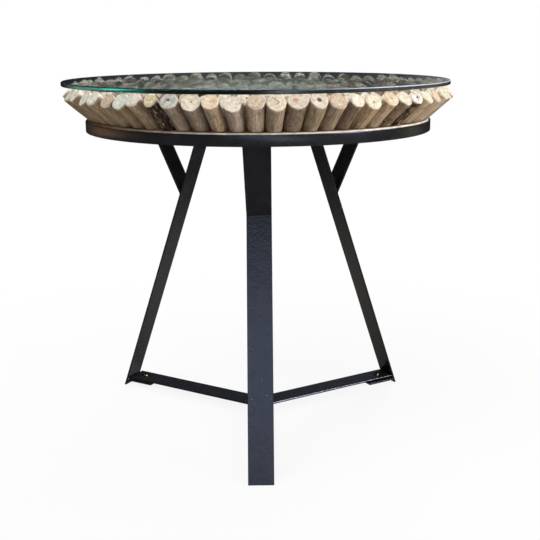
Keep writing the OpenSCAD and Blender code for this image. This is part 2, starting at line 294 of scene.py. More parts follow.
# direction in degrees from +X, elevation, reach across and up in degrees, colour, strength
mirrored_patches = [
    (-90, 15, 14, 11, "#c3d5ff", 1.5),
    (-75, 0.4, 9, 1.1, "#e4f2ff", 4.5),
    (-67, -6, 13, 9, "#cde6ff", 0.5),
    (-43, -6, 10, 9, "#f0f4ff", 0.1),
    (24, -6, 11, 8, "#fff6a8", 0.4),
    (-23, 38, 10, 12, "#dde2ff", 80.0),
    (162, -6, 22, 12, "#ffcb96", 0.75),
    (-135, -6, 35, 12, "#ffffff", 0.08),
    (38, 48, 22, 16, "#e8f0ff", 7.5),
    (50, -45, 60, 16, "#e8eeff", 0.1),
    (70, 22, 18, 10, "#d0e0ff", 0.25),
    (92, 6.6, 9, 1.4, "#d6fff0", 0.19),
    (98, 3, 5, 4, "#cfe4ff", 0.02),
    (-90, -50, 140, 30, "#ffffff", 0.07),
    (90, -84, 70, 5, "#fff4e4", 0.22),
]
refracted_patches = [
    (51, 3, 14, 9, "#ffffff", 1.3),
    (66, 3, 5, 9, "#ffffff", 3.4),
    (80, 0, 14, 10, "#e8fff8", 0.02),
    (90, -70, 400, 30, "#ffffff", 1.2),
]
azimuth = np.radians(np.linspace(0, 360, dome_around, endpoint=False))[None, :]
elevation = np.radians(np.linspace(-89, 89, dome_rings))[:, None]
direction = np.stack([np.cos(elevation) * np.cos(azimuth), np.cos(elevation) * np.sin(azimuth),
                      np.sin(elevation) + 0 * azimuth], axis=-1)
dome_points = direction * dome_radius + [0, 0, dome_centre]
# its lower part lies flat, half a millimetre above the floor
dome_points[..., 2] = np.maximum(dome_points[..., 2], 0.5 * mm)


def glow_of(patches):
    """Linear colour at every point of the dome: its own dark colour plus, for each patch,
    colour * strength * exp(-(turn / across)^2 - (rise / up)^2)."""
    glow = np.ones((*direction.shape[:2], 4)) * dome_colour
    for heading, height, across, up, colour, strength in patches:
        turn = (np.degrees(azimuth) - heading + 180) % 360 - 180
        rise = np.degrees(elevation) - height
        patch = np.exp(-(turn / across) ** 2 - (rise / up) ** 2)
        glow += patch[..., None] * np.array(linear(colour)) * strength
    return glow


tent_cloth, tree = empty_material("dark_tent_cloth")
mirrored = add_node(tree, "Attribute", attribute_name="mirrored").outputs["Color"]
refracted = add_node(tree, "Attribute", attribute_name="refracted").outputs["Color"]
through = add_node(tree, "LightPath").outputs["Is Transmission Ray"]
colour = add_node(tree, "Mix", {"Factor_Float": through, "A_Color": mirrored, "B_Color": refracted},
                  data_type="RGBA")
shine = add_node(tree, "Emission", {"Color": colour.outputs[2], "Strength": 1.0})
add_node(tree, "OutputMaterial", {"Surface": shine.outputs[0]})
dome = make_mesh("reflection_dome", dome_points, ring_faces(dome_rings, dome_around), [tent_cloth])
for name, patches in (("mirrored", mirrored_patches), ("refracted", refracted_patches)):
    layer = dome.data.attributes.new(name, "FLOAT_COLOR", "POINT")
    layer.data.foreach_set("color", glow_of(patches).astype(np.float32).ravel())
dome.visible_camera = False
dome.visible_diffuse = False
dome.visible_volume_scatter = False
dome.visible_shadow = False
print("soft patches of light:", len(mirrored_patches), "mirrored,", len(refracted_patches), "refracted")

# %% [markdown]
# ## Lamps
# Four lamps light the wood: a key lamp low at the right gives the sticks their bright right flanks,
# a tall window in front lights the sawn ends, one lamp above the front left fills their upper sides,
# and one above and behind lights the far rows. All are wide area lamps, because in the photograph no
# shadow has a hard edge. Shiny surfaces never see them, since the dome holds what those mirror.

# %% Lamps
lamp_aim = np.array([0, 0, 0.45])
# name, place, width and height in metres, radiance and colour
lamps = [
    ("key_lamp", (1.9, -1.25, 0.6), 1.1, 1.1, 11.5, "#fbfcff"),
    ("window_lamp", (0.8, -3.2, 0.9), 0.5, 1.6, 7.5, "#f4f6ff"),
    ("top_lamp", (-0.9, -0.9, 2.2), 1.4, 1.4, 7.4, "#e9f2ff"),
    ("back_lamp", (0.55, 1.55, 2.1), 1.0, 1.0, 10.5, "#f8faff"),
]


def area_lamp(name, place, width, height, radiance, colour):
    """A rectangular lamp at place that faces lamp_aim. Its power is radiance times area times pi."""
    data = bpy.data.lights.new(name, "AREA")
    data.shape = "RECTANGLE"
    data.size = width
    data.size_y = height
    data.energy = radiance * width * height * math.pi
    data.color = linear(colour)[:3]
    lamp = bpy.data.objects.new(name, data)
    bpy.context.scene.collection.objects.link(lamp)
    back = np.array(place) - lamp_aim
    back /= np.linalg.norm(back)
    side = np.cross([0, 0, 1], back)
    side /= np.linalg.norm(side)
    turn = np.eye(4)
    turn[:3, :3] = np.stack([side, np.cross(back, side), back], axis=1)
    turn[:3, 3] = place
    lamp.matrix_world = Matrix(turn.tolist())
    lamp.visible_camera = False
    lamp.visible_transmission = False
    lamp.visible_glossy = False


for lamp_values in lamps:
    area_lamp(*lamp_values)
print("lamps:", len(lamps))

# %% [markdown]
# ## Black powder-coated steel
# Polyester powder is sprayed on dry and baked, which leaves a satin black film with a faint orange
# peel. Its arrises stay rounded because the film flows there. The eye sees a nearly black surface
# whose fairly sharp reflection breaks up into a fine mottle, with small dust nibs in the film.

# %% Powder coat
def powder_coat():
    """Black polyester powder coat: a dark base under a satin reflection that an orange peel ripples.
    The peel is 1 to 2 mm wide on real steel and drawn at about 3 mm, so that it shows. Dust nibs
    about a millimetre across are 11 mm or more apart."""
    material, tree = empty_material("black_polyester_powder_coat")
    place = add_node(tree, "TexCoord").outputs["Object"]
    peel = add_node(tree, "TexNoise", {"Vector": place, "Scale": 270.0, "Detail": 2.0, "Roughness": 0.6})
    cloud = add_node(tree, "TexNoise", {"Vector": place, "Scale": 45.0, "Detail": 4.0, "Roughness": 0.65})
    nibs = add_node(tree, "TexVoronoi", {"Vector": place, "Scale": 90.0, "Randomness": 1.0})
    nib = add_node(tree, "MapRange", {"Value": nibs.outputs["Distance"], "From Min": 0.10, "From Max": 0.03},
                   interpolation_type="SMOOTHSTEP")
    tone = add_node(tree, "ValToRGB", {"Fac": cloud.outputs["Fac"]},
                    stops=((0.3, "#161617"), (0.75, "#202022")))
    nib_tone = add_node(tree, "Mix", {"Factor_Float": nib.outputs[0], "A_Color": tone.outputs["Color"],
                                      "B_Color": linear("#3a3b3f")}, data_type="RGBA")
    mottle = add_node(tree, "TexNoise", {"Vector": place, "Scale": 330.0, "Detail": 3.0, "Roughness": 0.7})
    gloss = add_node(tree, "MapRange", {"Value": mottle.outputs["Fac"], "From Min": 0.35, "From Max": 0.65,
                                        "To Min": 0.15, "To Max": 0.25})
    height = add_node(tree, "Math", {"Value": nib.outputs[0], "Value_001": 1.2,
                                     "Value_002": peel.outputs["Fac"]}, operation="MULTIPLY_ADD")
    bump = add_node(tree, "Bump", {"Height": height.outputs[0], "Distance": 0.33 * mm, "Strength": 1.0})
    shader = add_node(tree, "BsdfPrincipled", {
        "Base Color": nib_tone.outputs[2], "Roughness": gloss.outputs[0], "IOR": 1.5,
        "Specular IOR Level": 0.8, "Normal": bump.outputs[0]})
    add_node(tree, "OutputMaterial", {"Surface": shader.outputs[0]})
    return material


black_coat = powder_coat()
print("finish:", black_coat.name)

# %% [markdown]
# ## Flat bar
# Legs, braces, feet, arms and straps are all cut from one hot-rolled flat bar. Their solids already
# have the right shape, so they stay. Each gets three modifiers: doubled corners are welded, the
# flat triangles are joined into whole faces, and the arrises are rounded as rolling leaves them.
# The bars at the feet are seen from above, and their edges are rounder, to catch a thin highlight.

# %% Round the arrises of the flat bar
arris, foot_bar_arris = 0.7 * mm, 1.2 * mm


def round_arrises(node, width):
    """Weld, join flat faces and round every edge sharper than 25 degrees by width, in metres."""
    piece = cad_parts[node]
    weld = piece.modifiers.new("weld", "WELD")
    weld.merge_threshold = 0.005 * mm
    flat = piece.modifiers.new("join_flats", "DECIMATE")
    flat.decimate_type = "DISSOLVE"
    flat.angle_limit = math.radians(1.0)
    bevel = piece.modifiers.new("arris", "BEVEL")
    bevel.width = width
    bevel.segments = 3
    bevel.limit_method = "ANGLE"
    bevel.angle_limit = math.radians(25)
    bevel.harden_normals = True


def dress(node, material):
    """Gives a construction node its one material."""
    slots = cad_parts[node].data.materials
    slots.clear()
    slots.append(material)


bar_nodes = [side + part for part in ("_top_strap", "_leg_bar", "_leg_brace", "_foot_tab", "_stretcher_arm")
             for side in ("front", "right", "left")]
for node in bar_nodes:
    dress(node, black_coat)
    round_arrises(node, foot_bar_arris if node.endswith(("_foot_tab", "_stretcher_arm")) else arris)
print("bars with rounded arrises:", len(bar_nodes))

# %% [markdown]
# ## Welds
# The frame is welded from the inside corners, and each weld is a low bead laid drop by drop, so its
# surface ripples about every two millimetres. The powder coat covers it. Each bead runs along an
# edge that is read from the construction model: the corner points of a bar that lie furthest in one
# direction.

# %% Weld beads
bead_radius = 1.7 * mm
ripple_length = 2.1 * mm
ring_spacing = 0.3 * mm


def bar_edge(node, direction):
    """The two ends of the bar's edge that lies furthest in a direction, from the corner points that
    reach within 0.2 mm as far."""
    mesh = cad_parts[node].data
    points = np.empty(len(mesh.vertices) * 3, np.float32)
    mesh.vertices.foreach_get("co", points)
    points = points.reshape(-1, 3).astype(float)
    reach = points @ np.asarray(direction, float)
    edge = points[reach > reach.max() - 0.2 * mm]
    along = edge @ np.cross(direction, [0.1, 0.2, 1.0]) if abs(direction[2]) < 0.99 else edge[:, 0]
    return edge[along.argmin()], edge[along.argmax()]


def bead_points(start, end, around=10):
    """A bead along the line from start to end: circles whose radius is bead_radius * (1 + ripple) and
    which close at both ends as sqrt(1 - u ^ 6), with u from -1 to 1 along the line."""
    length = np.linalg.norm(end - start)
    line = (end - start) / length
    side = np.cross(line, [0.3, 0.2, 1.0])
    side /= np.linalg.norm(side)
    share = np.linspace(-0.995, 0.995, max(8, int(length / (2 * ring_spacing))))[:, None]
    angle = np.linspace(0, 2 * np.pi, around, endpoint=False)[None, :]
    ripple = 0.14 * np.cos(2 * np.pi * share * length / (2 * ripple_length)) + 0.06 * np.cos(7 * share + 1)
    reach = bead_radius * (1 + ripple) * np.sqrt(1 - share ** 6)
    middle_line = (start + end) / 2 + share[..., None] * (end - start) / 2
    return middle_line + reach[..., None] * (np.cos(angle)[..., None] * side
                                             + np.sin(angle)[..., None] * np.cross(line, side))


beads = []
for side, bearing in (("front", -90), ("right", 30), ("left", 150)):
    outward = np.array([math.cos(math.radians(bearing)), math.sin(math.radians(bearing)), 0])
    for part, direction in (("_leg_brace", (0, 0, -1)), ("_leg_brace", 0.5 * outward + [0, 0, 1.0]),
                            ("_foot_tab", outward + [0, 0, 0.5]), ("_top_strap", outward - [0, 0, 0.5])):
        start, end = bar_edge(side + part, direction)
        length = float(np.linalg.norm(end - start))
        # a bar welded out of square has a single furthest corner, and so no edge for a bead
        if length > 0:
            beads.append(bead_points(start, end))
        print(side + part, "weld", round(length / mm, 1), "mm long")
faces, first = [], 0
for bead in beads:
    faces += ring_faces(bead.shape[0], bead.shape[1], first)
    first += bead.shape[0] * bead.shape[1]
weld_beads = make_mesh("weld_beads", np.concatenate([bead.reshape(-1, 3) for bead in beads]), faces,
                       [black_coat])
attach(weld_beads, "root")

# %% [markdown]
# ## Hoop and board
# The hoop is the same kind of bar, rolled on its edge and welded. The board is a disc of plywood
# that drops into it. Its sawn edge shows as a pale and slightly ragged line above the steel, darker
# at the left with painted shade. The face between the sticks is a dark veneer, which is painted
# shade, and the underside is dark. Both are turned shapes: a profile of radius and height carried
# round the middle.

# %% Hoop
def rounded_rectangle(inner, outer, low, high, radius, steps=4):
    """Closed profile of (radius, height) points with quarter-circle corners, anticlockwise."""
    return np.concatenate([
        arc((outer - radius, low + radius), radius, -90, 0, steps),
        arc((outer - radius, high - radius), radius, 0, 90, steps),
        arc((inner + radius, high - radius), radius, 90, 180, steps),
        arc((inner + radius, low + radius), radius, 180, 270, steps)])


hoop_around = 256
hoop_profile = rounded_rectangle(hoop_radius - bar_thickness, hoop_radius, hoop_low.z, hoop_high.z, arris)
hoop = make_mesh("rolled_hoop", lathe_points(hoop_profile, hoop_around),
                 ring_faces(len(hoop_profile), hoop_around, closed=True), [black_coat])
fit_out(hoop, "black_powder_coated_steel", "rim_hoop")
print("hoop:", round(2 * hoop_radius / mm, 1), "mm across,", round((hoop_high.z - hoop_low.z) / mm, 1),
      "mm high")

# %% Board
def birch_plywood():
    """Sawn plywood: blotched pale veneers with torn fibres, and painted shade that darkens the left."""
    material, tree = empty_material("sawn_plywood")
    place = add_node(tree, "TexCoord").outputs["Object"]
    blotch = add_node(tree, "TexNoise", {"Vector": place, "Scale": 55.0, "Detail": 5.0, "Roughness": 0.7})
    fibre = add_node(tree, "TexNoise", {"Vector": place, "Scale": 900.0, "Detail": 3.0, "Roughness": 0.6})
    tone = add_node(tree, "ValToRGB", {"Fac": blotch.outputs["Fac"]},
                    stops=((0.3, "#baa690"), (0.5, "#e4d6c2"), (0.7, "#fcf6ec")))
    across = add_node(tree, "SeparateXYZ", {"Vector": place})
    # painted shade: the board turns brown from 60 mm left of the middle, fully at 230 mm
    lit_share = add_node(tree, "MapRange", {"Value": across.outputs["X"], "From Min": -230 * mm,
                                        "From Max": -60 * mm})
    left_shaded = add_node(tree, "Mix", {"Factor_Float": lit_share.outputs[0], "A_Color": linear("#8a6a4a"),
                                     "B_Color": tone.outputs["Color"]}, data_type="RGBA")
    torn = add_node(tree, "Mix", {"Factor_Float": 0.25, "A_Color": left_shaded.outputs[2],
                                  "B_Color": fibre.outputs["Color"]}, data_type="RGBA", blend_type="OVERLAY")
    bump = add_node(tree, "Bump", {"Height": fibre.outputs["Fac"], "Distance": 0.3 * mm, "Strength": 0.6})
    shader = add_node(tree, "BsdfPrincipled", {"Base Color": torn.outputs[2], "Roughness": 0.8,
                                               "Normal": bump.outputs[0]})
    add_node(tree, "OutputMaterial", {"Surface": shader.outputs[0]})
    return material


def streaked_veneer(name, dark, pale):
    """A veneer streaked 4 mm wide along its grain, from dark to pale: the dark underside, and the painted
    shade on the face between the sticks.
    """
    material, tree = empty_material(name)
    place = add_node(tree, "TexCoord").outputs["Object"]
    drawn = add_node(tree, "VectorMath", {"Vector": place, "Vector_001": (12.0, 260.0, 12.0)},
                     operation="MULTIPLY")
    streak = add_node(tree, "TexNoise", {"Vector": drawn.outputs[0], "Scale": 1.0, "Detail": 5.0,
                                         "Roughness": 0.6})
    tone = add_node(tree, "ValToRGB", {"Fac": streak.outputs["Fac"]}, stops=((0.3, dark), (0.7, pale)))
    bump = add_node(tree, "Bump", {"Height": streak.outputs["Fac"], "Distance": 0.2 * mm, "Strength": 0.4})
    shader = add_node(tree, "BsdfPrincipled", {"Base Color": tone.outputs["Color"], "Roughness": 0.75,
                                               "Normal": bump.outputs[0]})
    add_node(tree, "OutputMaterial", {"Surface": shader.outputs[0]})
    return material


board_around = 720
board_profile = np.array([[board_radius / 2, board_low.z], [board_radius, board_low.z],
                          [board_radius, board_top - 2.5 * mm], [board_radius, board_top - 1.2 * mm],
                          [board_radius - 0.3 * mm, board_top - 0.2 * mm],
                          [board_radius - 1.0 * mm, board_top], [board_radius / 2, board_top]])
# the saw chipped the upper rings of the profile, by about a quarter of a millimetre
chipped_share = np.array([0, 0, 0.6, 1, 1, 1.4, 0])[:, None]
chips = np.random.default_rng(11).normal(0, 0.25 * mm, (len(board_profile), board_around))
chips = np.minimum(chips, 0) * chipped_share
# finish 2 is painted shade on the face between the sticks, and finish 1 is the dark underside
board_finishes = [birch_plywood(), streaked_veneer("dark_underside_veneer", "#2c2620", "#5a5046"),
                  streaked_veneer("painted_shade_face_veneer", "#4a3a2c", "#7d6650")]
board = make_mesh("plywood_board", lathe_points(board_profile, board_around, chips),
                  ring_faces(len(board_profile), board_around), board_finishes, 60)
# Faces come strip by strip from the underside over the sawn edge to the upper face, and then the two
# flat middles. The underside takes finish 1, the upper face and its arris 2, the sawn edge keeps 0.
finish = np.zeros(len(board.data.polygons), np.int32)
finish[:board_around] = finish[-2] = 1
finish[3 * board_around:6 * board_around] = finish[-1] = 2
board.data.polygons.foreach_set("material_index", finish)
fit_out(board, "plywood", "base_board")
print("board:", round(2 * board_radius / mm, 1), "mm across, its top", round(board_top / mm, 1), "mm up")

# %% [markdown]
# ## Driftwood: measure the sticks
# Every stick is a slightly flared round in the construction model. Before it can be carved, its
# axis, foot and radius have to be known. They are measured from the solid itself: the wall's
# normals all make the same angle with the axis, so the direction in which they vary least is the
# axis, and a circle fitted to the wall's corners across that axis gives its place and its radius.

# %% Measure the sticks
def solids_of(node):
    """Triangle corners, as arrays (n, 3, 3), of each separate solid in a node. Corners at the same
    place are merged, and each point takes the lowest number found among its triangles' points until
    nothing changes, so that every solid ends with one number."""
    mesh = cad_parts[node].data
    mesh.calc_loop_triangles()
    corners = np.empty(len(mesh.vertices) * 3, np.float32)
    mesh.vertices.foreach_get("co", corners)
    triangles = np.empty(len(mesh.loop_triangles) * 3, np.int32)
    mesh.loop_triangles.foreach_get("vertices", triangles)
    keys = np.round(corners.reshape(-1, 3) / (0.01 * mm)).astype(np.int64)
    _, first, merged = np.unique(keys, axis=0, return_index=True, return_inverse=True)
    points = corners.reshape(-1, 3)[first].astype(float)
    triangles = merged.reshape(-1)[triangles].reshape(-1, 3)
    label = np.arange(len(points))
    while True:
        lower = label.copy()
        np.minimum.at(lower, triangles.ravel(), np.repeat(label[triangles].min(axis=1), 3))
        if (lower == label).all():
            break
        label = lower
    owner = label[triangles[:, 0]]
    return [points[triangles[owner == number]] for number in np.unique(owner)]


def measure_stick(corners):
    """Foot, axis, foot radius, growth and length of a stick from its triangles' corners.
    Wall points obey |p across the axis - centre| = radius + growth * p along the axis, which is
    solved for centre, radius and growth by a few Gauss-Newton steps."""
    normal = np.cross(corners[:, 1] - corners[:, 0], corners[:, 2] - corners[:, 0])
    area = np.linalg.norm(normal, axis=1)
    # slivers have no sound normal
    sound = area > 1e-10
    corners, normal, area = corners[sound], normal[sound], area[sound]
    normal /= area[:, None]
    points = corners.reshape(-1, 3)
    low = points[:, 2] < board_top + 0.02 * mm
    rough_axis = points[~low].mean(axis=0) - points[low].mean(axis=0)
    rough_axis /= np.linalg.norm(rough_axis)
    wall = np.abs(normal @ rough_axis) < 0.3
    spread = normal[wall] - np.average(normal[wall], axis=0, weights=area[wall])
    axis = np.linalg.eigh((spread * area[wall, None]).T @ spread)[1][:, 0]
    axis *= np.sign(axis[2])
    wall_points = corners[wall].reshape(-1, 3)
    along = wall_points @ axis
    across = wall_points - along[:, None] * axis
    centre, radius, growth = across.mean(axis=0), 0.0, 0.0
    for _ in range(8):
        offset = across - centre
        reach = np.linalg.norm(offset, axis=1)
        slopes = np.column_stack([-offset / reach[:, None], -np.ones_like(along), -along])
        step = np.linalg.lstsq(slopes, -(reach - radius - growth * along), rcond=None)[0]
        centre, radius, growth = centre + step[:3], radius + step[3], growth + step[4]
    centre = centre - (centre @ axis) * axis
    foot_along = (board_top - centre[2]) / axis[2]
    return {"foot": centre + foot_along * axis, "axis": axis, "radius": radius + growth * foot_along,
            "growth": growth, "length": (points @ axis).max() - foot_along}


rim_nodes = sorted(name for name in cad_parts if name.startswith("rim_sticks"))
bed_nodes = sorted(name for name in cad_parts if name.startswith("bed_sticks")) + ["centre_stick"]
sticks = {node: [measure_stick(solid) for solid in solids_of(node)] for node in rim_nodes + bed_nodes}
rim_radii = np.array([stick["radius"] for node in rim_nodes for stick in sticks[node]])
print("rim sticks:", len(rim_radii), "mean diameter", round(2 * rim_radii.mean() / mm, 1), "mm")
print("bed sticks:", sum(len(sticks[node]) for node in bed_nodes), "out to a radius of",
      round(max(np.hypot(*stick["foot"][:2]) for node in bed_nodes for stick in sticks[node]) / mm, 1), "mm")

# %% [markdown]
# ## Driftwood: looks of single sticks
# No two sticks are alike, and the ones in front are close enough to be told apart: one is hollow,
# one keeps its dark bark, one has a crack like a V. Each look is a small set of colours, sizes and
# shares. The sticks in the front row are given the look that stands at their place, and the others
# draw theirs: at the sides and back one of the plain ones, and in the bed behind, half of the time,
# the bleached one.

# %% Looks of single sticks
plain = {"end": "#d8c6a6", "body": "#a39078", "rings": 0.4, "speckle": 0.2, "crack": 0.0,
         "pith": 0.7, "hole": 0.0, "bark": 0.0, "knot": 0.0, "blotch": 0.3, "painted_shade": 0.0,
         "girth": None, "turn": None}


def look(**changes):
    """The plain look with some of its values changed. Pith and hole are radii and girth is a diameter,
    in millimetres, turn is in degrees, and the others are shares from 0 to about 1."""
    return {**plain, **changes}


looks = {
    "bleached": look(end="#fdf2dc", body="#dccaa8", rings=0.4, speckle=0.9, crack=0.2, pith=1.1),
    "cream": look(end="#ecebd6", body="#c4ae8c", rings=0.5, pith=0.7),
    "honeyed": look(end="#e4d8bc", body="#c4ae8c", rings=0.4, speckle=0.3, pith=0.5),
    "mushroom": look(end="#dfdecb", body="#b39c7c", rings=0.4, speckle=0.15, pith=0.8),
    "rosy": look(end="#e6decb", body="#b99f80", rings=0.5, speckle=0.2, pith=0.7),
    "golden": look(end="#e2d0aa", body="#a8937a", rings=0.9, pith=1.0),
    "barked": look(end="#d8c49c", body="#8f7c66", rings=0.8, pith=1.1, bark=0.95, girth=20),
    "grey_pith": look(end="#bdbbae", body="#a99b86", rings=0.35, crack=0.5, pith=1.9, girth=24.5, turn=120),
    "flat_topped": look(end="#e6d8be", body="#a08c7a", rings=0.5, pith=0.9, blotch=0.6, girth=25.5),
    "orange_heart": look(end="#e6d0b0", body="#cbb796", rings=0.5, knot=0.5, pith=0.4, girth=22.5, turn=20),
    "pale": look(end="#dcd4b8", body="#b5a697", rings=0.1, speckle=0.0, pith=0.0, girth=24.5),
    "speckled": look(end="#dcc8ae", body="#c4b29a", speckle=1.0, rings=0.1, pith=0.5, girth=24),
    "v_crack": look(end="#dccfb2", body="#b6a68a", crack=1.0, rings=0.15, pith=0.0, blotch=0.1, girth=27,
                    turn=0),
    "red_knot": look(end="#e4d6be", body="#9c8872", knot=0.9, crack=0.25, rings=0.3, speckle=0.7, bark=0.25,
                     blotch=1.0, girth=27, turn=170),
    # its pith is as wide as its hole, so that the dark round is painted shade in the hole
    "hollow": look(end="#e4dac4", body="#b8a684", hole=3.0, speckle=0.9, pith=2.9, blotch=0.2, girth=25),
    "brown_heart": look(end="#e2d0b4", body="#b6a488", speckle=1.3, rings=0.3, pith=0.4, girth=24),
    "dark_flank": look(end="#ebdfc6", body="#96846c", speckle=0.35, bark=0.35, blotch=1.0),
    "knotty": look(end="#f8f2e4", body="#a8967e", speckle=0.8, crack=0.9, bark=0.8, pith=1.5, blotch=1.0),
    "tan": look(end="#e2cba8", body="#c4b094", speckle=0.5, rings=0.3),
}
# Degrees to the right of the front, seen from the middle of the table, and the look found there
front_row = [(-77, "cream"), (-63, "rosy"), (-57, "mushroom"), (-50.7, "cream"), (-44.7, "brown_heart"),
             (-39.6, "mushroom"), (-33.8, "rosy"), (-28.4, "barked"), (-23, "grey_pith"),
             (-17.2, "flat_topped"), (-11.5, "orange_heart"), (-6.1, "pale"), (-0.7, "speckled"),
             (4.4, "v_crack"), (9.6, "red_knot"), (15.6, "hollow"), (21, "brown_heart"),
             (26.4, "dark_flank"), (31.4, "honeyed"), (36.7, "tan"), (42.6, "dark_flank"), (48.1, "knotty"),
             (53.5, "honeyed"), (59.7, "tan"), (66, "bleached")]
plain_rim_looks = ["cream", "mushroom", "rosy", "golden", "pale", "speckled", "tan", "flat_topped",
                   "dark_flank"]
bed_looks = ["bleached", "bleached", "bleached", "knotty", "cream", "speckled"]
print("looks:", len(looks), "for", len(front_row), "places in front and for the rest")

# %% [markdown]
# ## Driftwood: carve a stick
# A stick is a stack of rings along its measured axis. Each ring is a circle bent by a few slow
# waves, lengthwise ridges and a knot or two. The lowest ring is cut by the board, the top is sawn
# nearly square, its rim is sanded round, and whatever would reach the glass is planed flat. The
# surface also carries its own coordinates, so that the grain follows the wood and not the room.

# %% Carve a stick
def stick_axes(axis):
    """Two directions across the axis: one level, and one that points to the stick's upper side."""
    level = np.cross([0, 0, 1.0], axis)
    level = level / np.linalg.norm(level) if np.linalg.norm(level) > 0.02 else np.array([1.0, 0, 0])
    return level, np.cross(axis, level)


def wall_waves(angle, share, amount, random):
    """Slow bends of the section, as a share of the radius: harmonics 1 to 5 that drift along the
    stick, fine ridges, and up to two Gaussian knots. It swings about a third of amount below zero, so
    that most of the wall lies inside the measured round."""
    wave = np.zeros(np.broadcast(angle, share).shape)
    for harmonic, weight in ((1, 0.5), (2, 1.0), (3, 0.6), (4, 0.35), (5, 0.25)):
        phase, drift = random.uniform(0, 2 * np.pi), random.uniform(-1.2, 1.2)
        wave += weight * np.cos(harmonic * angle + phase + drift * share)
    ridge = np.zeros_like(wave)
    for harmonic in (9, 13, 19):
        phase, drift = random.uniform(0, 2 * np.pi), random.uniform(-0.8, 0.8)
        ridge += np.cos(harmonic * angle + phase + drift * share)
    knots = np.zeros_like(wave)
    for _ in range(random.integers(0, 3)):
        where = random.uniform(0, 2 * np.pi)
        along = random.uniform(0.15, 0.8)
        size = random.uniform(0.5, 1.0)
        turn = (angle - where + np.pi) % (2 * np.pi) - np.pi
        knots += size * np.exp(-(turn / 0.35) ** 2 - ((share - along) / 0.09) ** 2)
    return amount * (0.45 * wave - 0.35) + 0.12 * amount * ridge + 0.9 * amount * knots


def carve(stick, look, around, along, rounding, drop, random):
    """Points (rings, around, 3) of one stick and what the wood needs at each of them.
    Point = foot + s * axis + bow + radius(s) * (1 + waves) * (cos, sin across), with s running from
    the board to the sanded rim, then over a quarter round and across the sawn end to its middle."""
    axis = stick["axis"]
    level, upper = stick_axes(axis)
    angle = np.linspace(0, 2 * np.pi, around, endpoint=False)[None, :]
    across = np.cos(angle)[..., None] * level + np.sin(angle)[..., None] * upper
    share = np.linspace(0, 1, along)[:, None] ** 0.9
    length = stick["length"] - drop
    foot_radius, end_radius = stick["radius"], stick["radius"] + stick["growth"] * length
    girth = look["girth"] * mm / 2 / end_radius if look["girth"] else 1.0
    rim = min(rounding * random.uniform(0.7, 1.2), 0.78 * end_radius)
    slant = random.normal(0, 0.035, 2)
    end = length + end_radius * (slant[0] * np.cos(angle) + slant[1] * np.sin(angle))
    start = -foot_radius * across[..., 2] / axis[2]
    run = start + (end - rim - start) * share
    swell = 1 + 0.028 * np.cos(2 * np.pi * random.uniform(0.4, 1.1) * share + random.uniform(0, 2 * np.pi))
    radius = (foot_radius + (end_radius - foot_radius) * np.clip(run / length, 0, 1)) * swell
    waves = wall_waves(angle, share, 0.035, random)
    reach = radius * (1 + (girth - 1) * (0.5 + 0.5 * share)) * (1 + waves)
    # the sanded quarter round, then the sawn face towards its middle; bed sticks get fewer rings
    quarter = np.radians([25, 50, 75, 90])[:, None]
    rim_reach = reach[-1] - rim * (1 - np.cos(quarter))
    rim_run = end - rim + rim * np.sin(quarter)
    hole = look["hole"] * mm / end_radius
    inwards = np.array([0.86, 0.7, 0.54, 0.4, 0.3, 0.2, 0.1, 0.03] if along > 12 else [0.7, 0.35, 0.05])
    if hole:
        inwards[-4:] = hole * np.array([1.1, 1.0, 0.96, 0.5])
    inwards = inwards[:, None]
    face_reach = rim_reach[-1] * inwards
    depth = np.where(inwards < hole, 6 * mm, 0.0)
    dish = random.uniform(-0.3, 0.5) * mm * (1 - inwards ** 2)
    saw = 0.08 * mm * np.cos(5 * face_reach / mm * np.cos(angle) + 3 * np.sin(angle))
    face_run = end - depth - dish + saw * inwards
    reach = np.concatenate([reach, rim_reach, face_reach])
    run = np.concatenate([run, rim_run, face_run])
    side = random.uniform(0, 2 * np.pi)
    bow = random.uniform(0, 0.8) * mm * np.sin(np.pi * np.clip(run / length, 0, 1))
    drift = np.cos(side) * level + np.sin(side) * upper
    points = stick["foot"] + run[..., None] * axis + bow[..., None] * drift + reach[..., None] * across
    tallest = glass_under - 0.03 * mm
    points[..., 2] = np.clip(points[..., 2], board_top, tallest)
    return {"points": points, "run": run, "reach": reach, "angle": angle, "end": end, "rings": along,
            "radius": end_radius, "across": across}


# %% [markdown]
# ## Driftwood: what the wood's surface carries
# The material needs to know, at each point, where it is on its own stick: along the grain, round
# it, and how far from the pith. It also needs the stick's tone and its marks. These travel as
# attributes on the mesh, which any renderer can read, and the same two materials serve all sticks.

# %% Gather sticks into pieces
attribute_kinds = {"grain": "FLOAT_VECTOR", "section": "FLOAT_VECTOR", "body_tone": "FLOAT_COLOR",
                   "end_tone": "FLOAT_COLOR", "marks": "FLOAT_VECTOR", "scars": "FLOAT_VECTOR",
                   "bleach_and_painted_light": "FLOAT", "blotch": "FLOAT", "painted_shade": "FLOAT"}


def vary_colour(hex_colour, random, amount=0.06):
    """A linear colour a little lighter or darker than the hex colour, and a little warmer or cooler."""
    colour = np.array(linear(hex_colour))
    colour[:3] *= 1 + random.normal(0, amount) + random.normal(0, amount / 3, 3)
    return np.clip(colour, 0, 1)


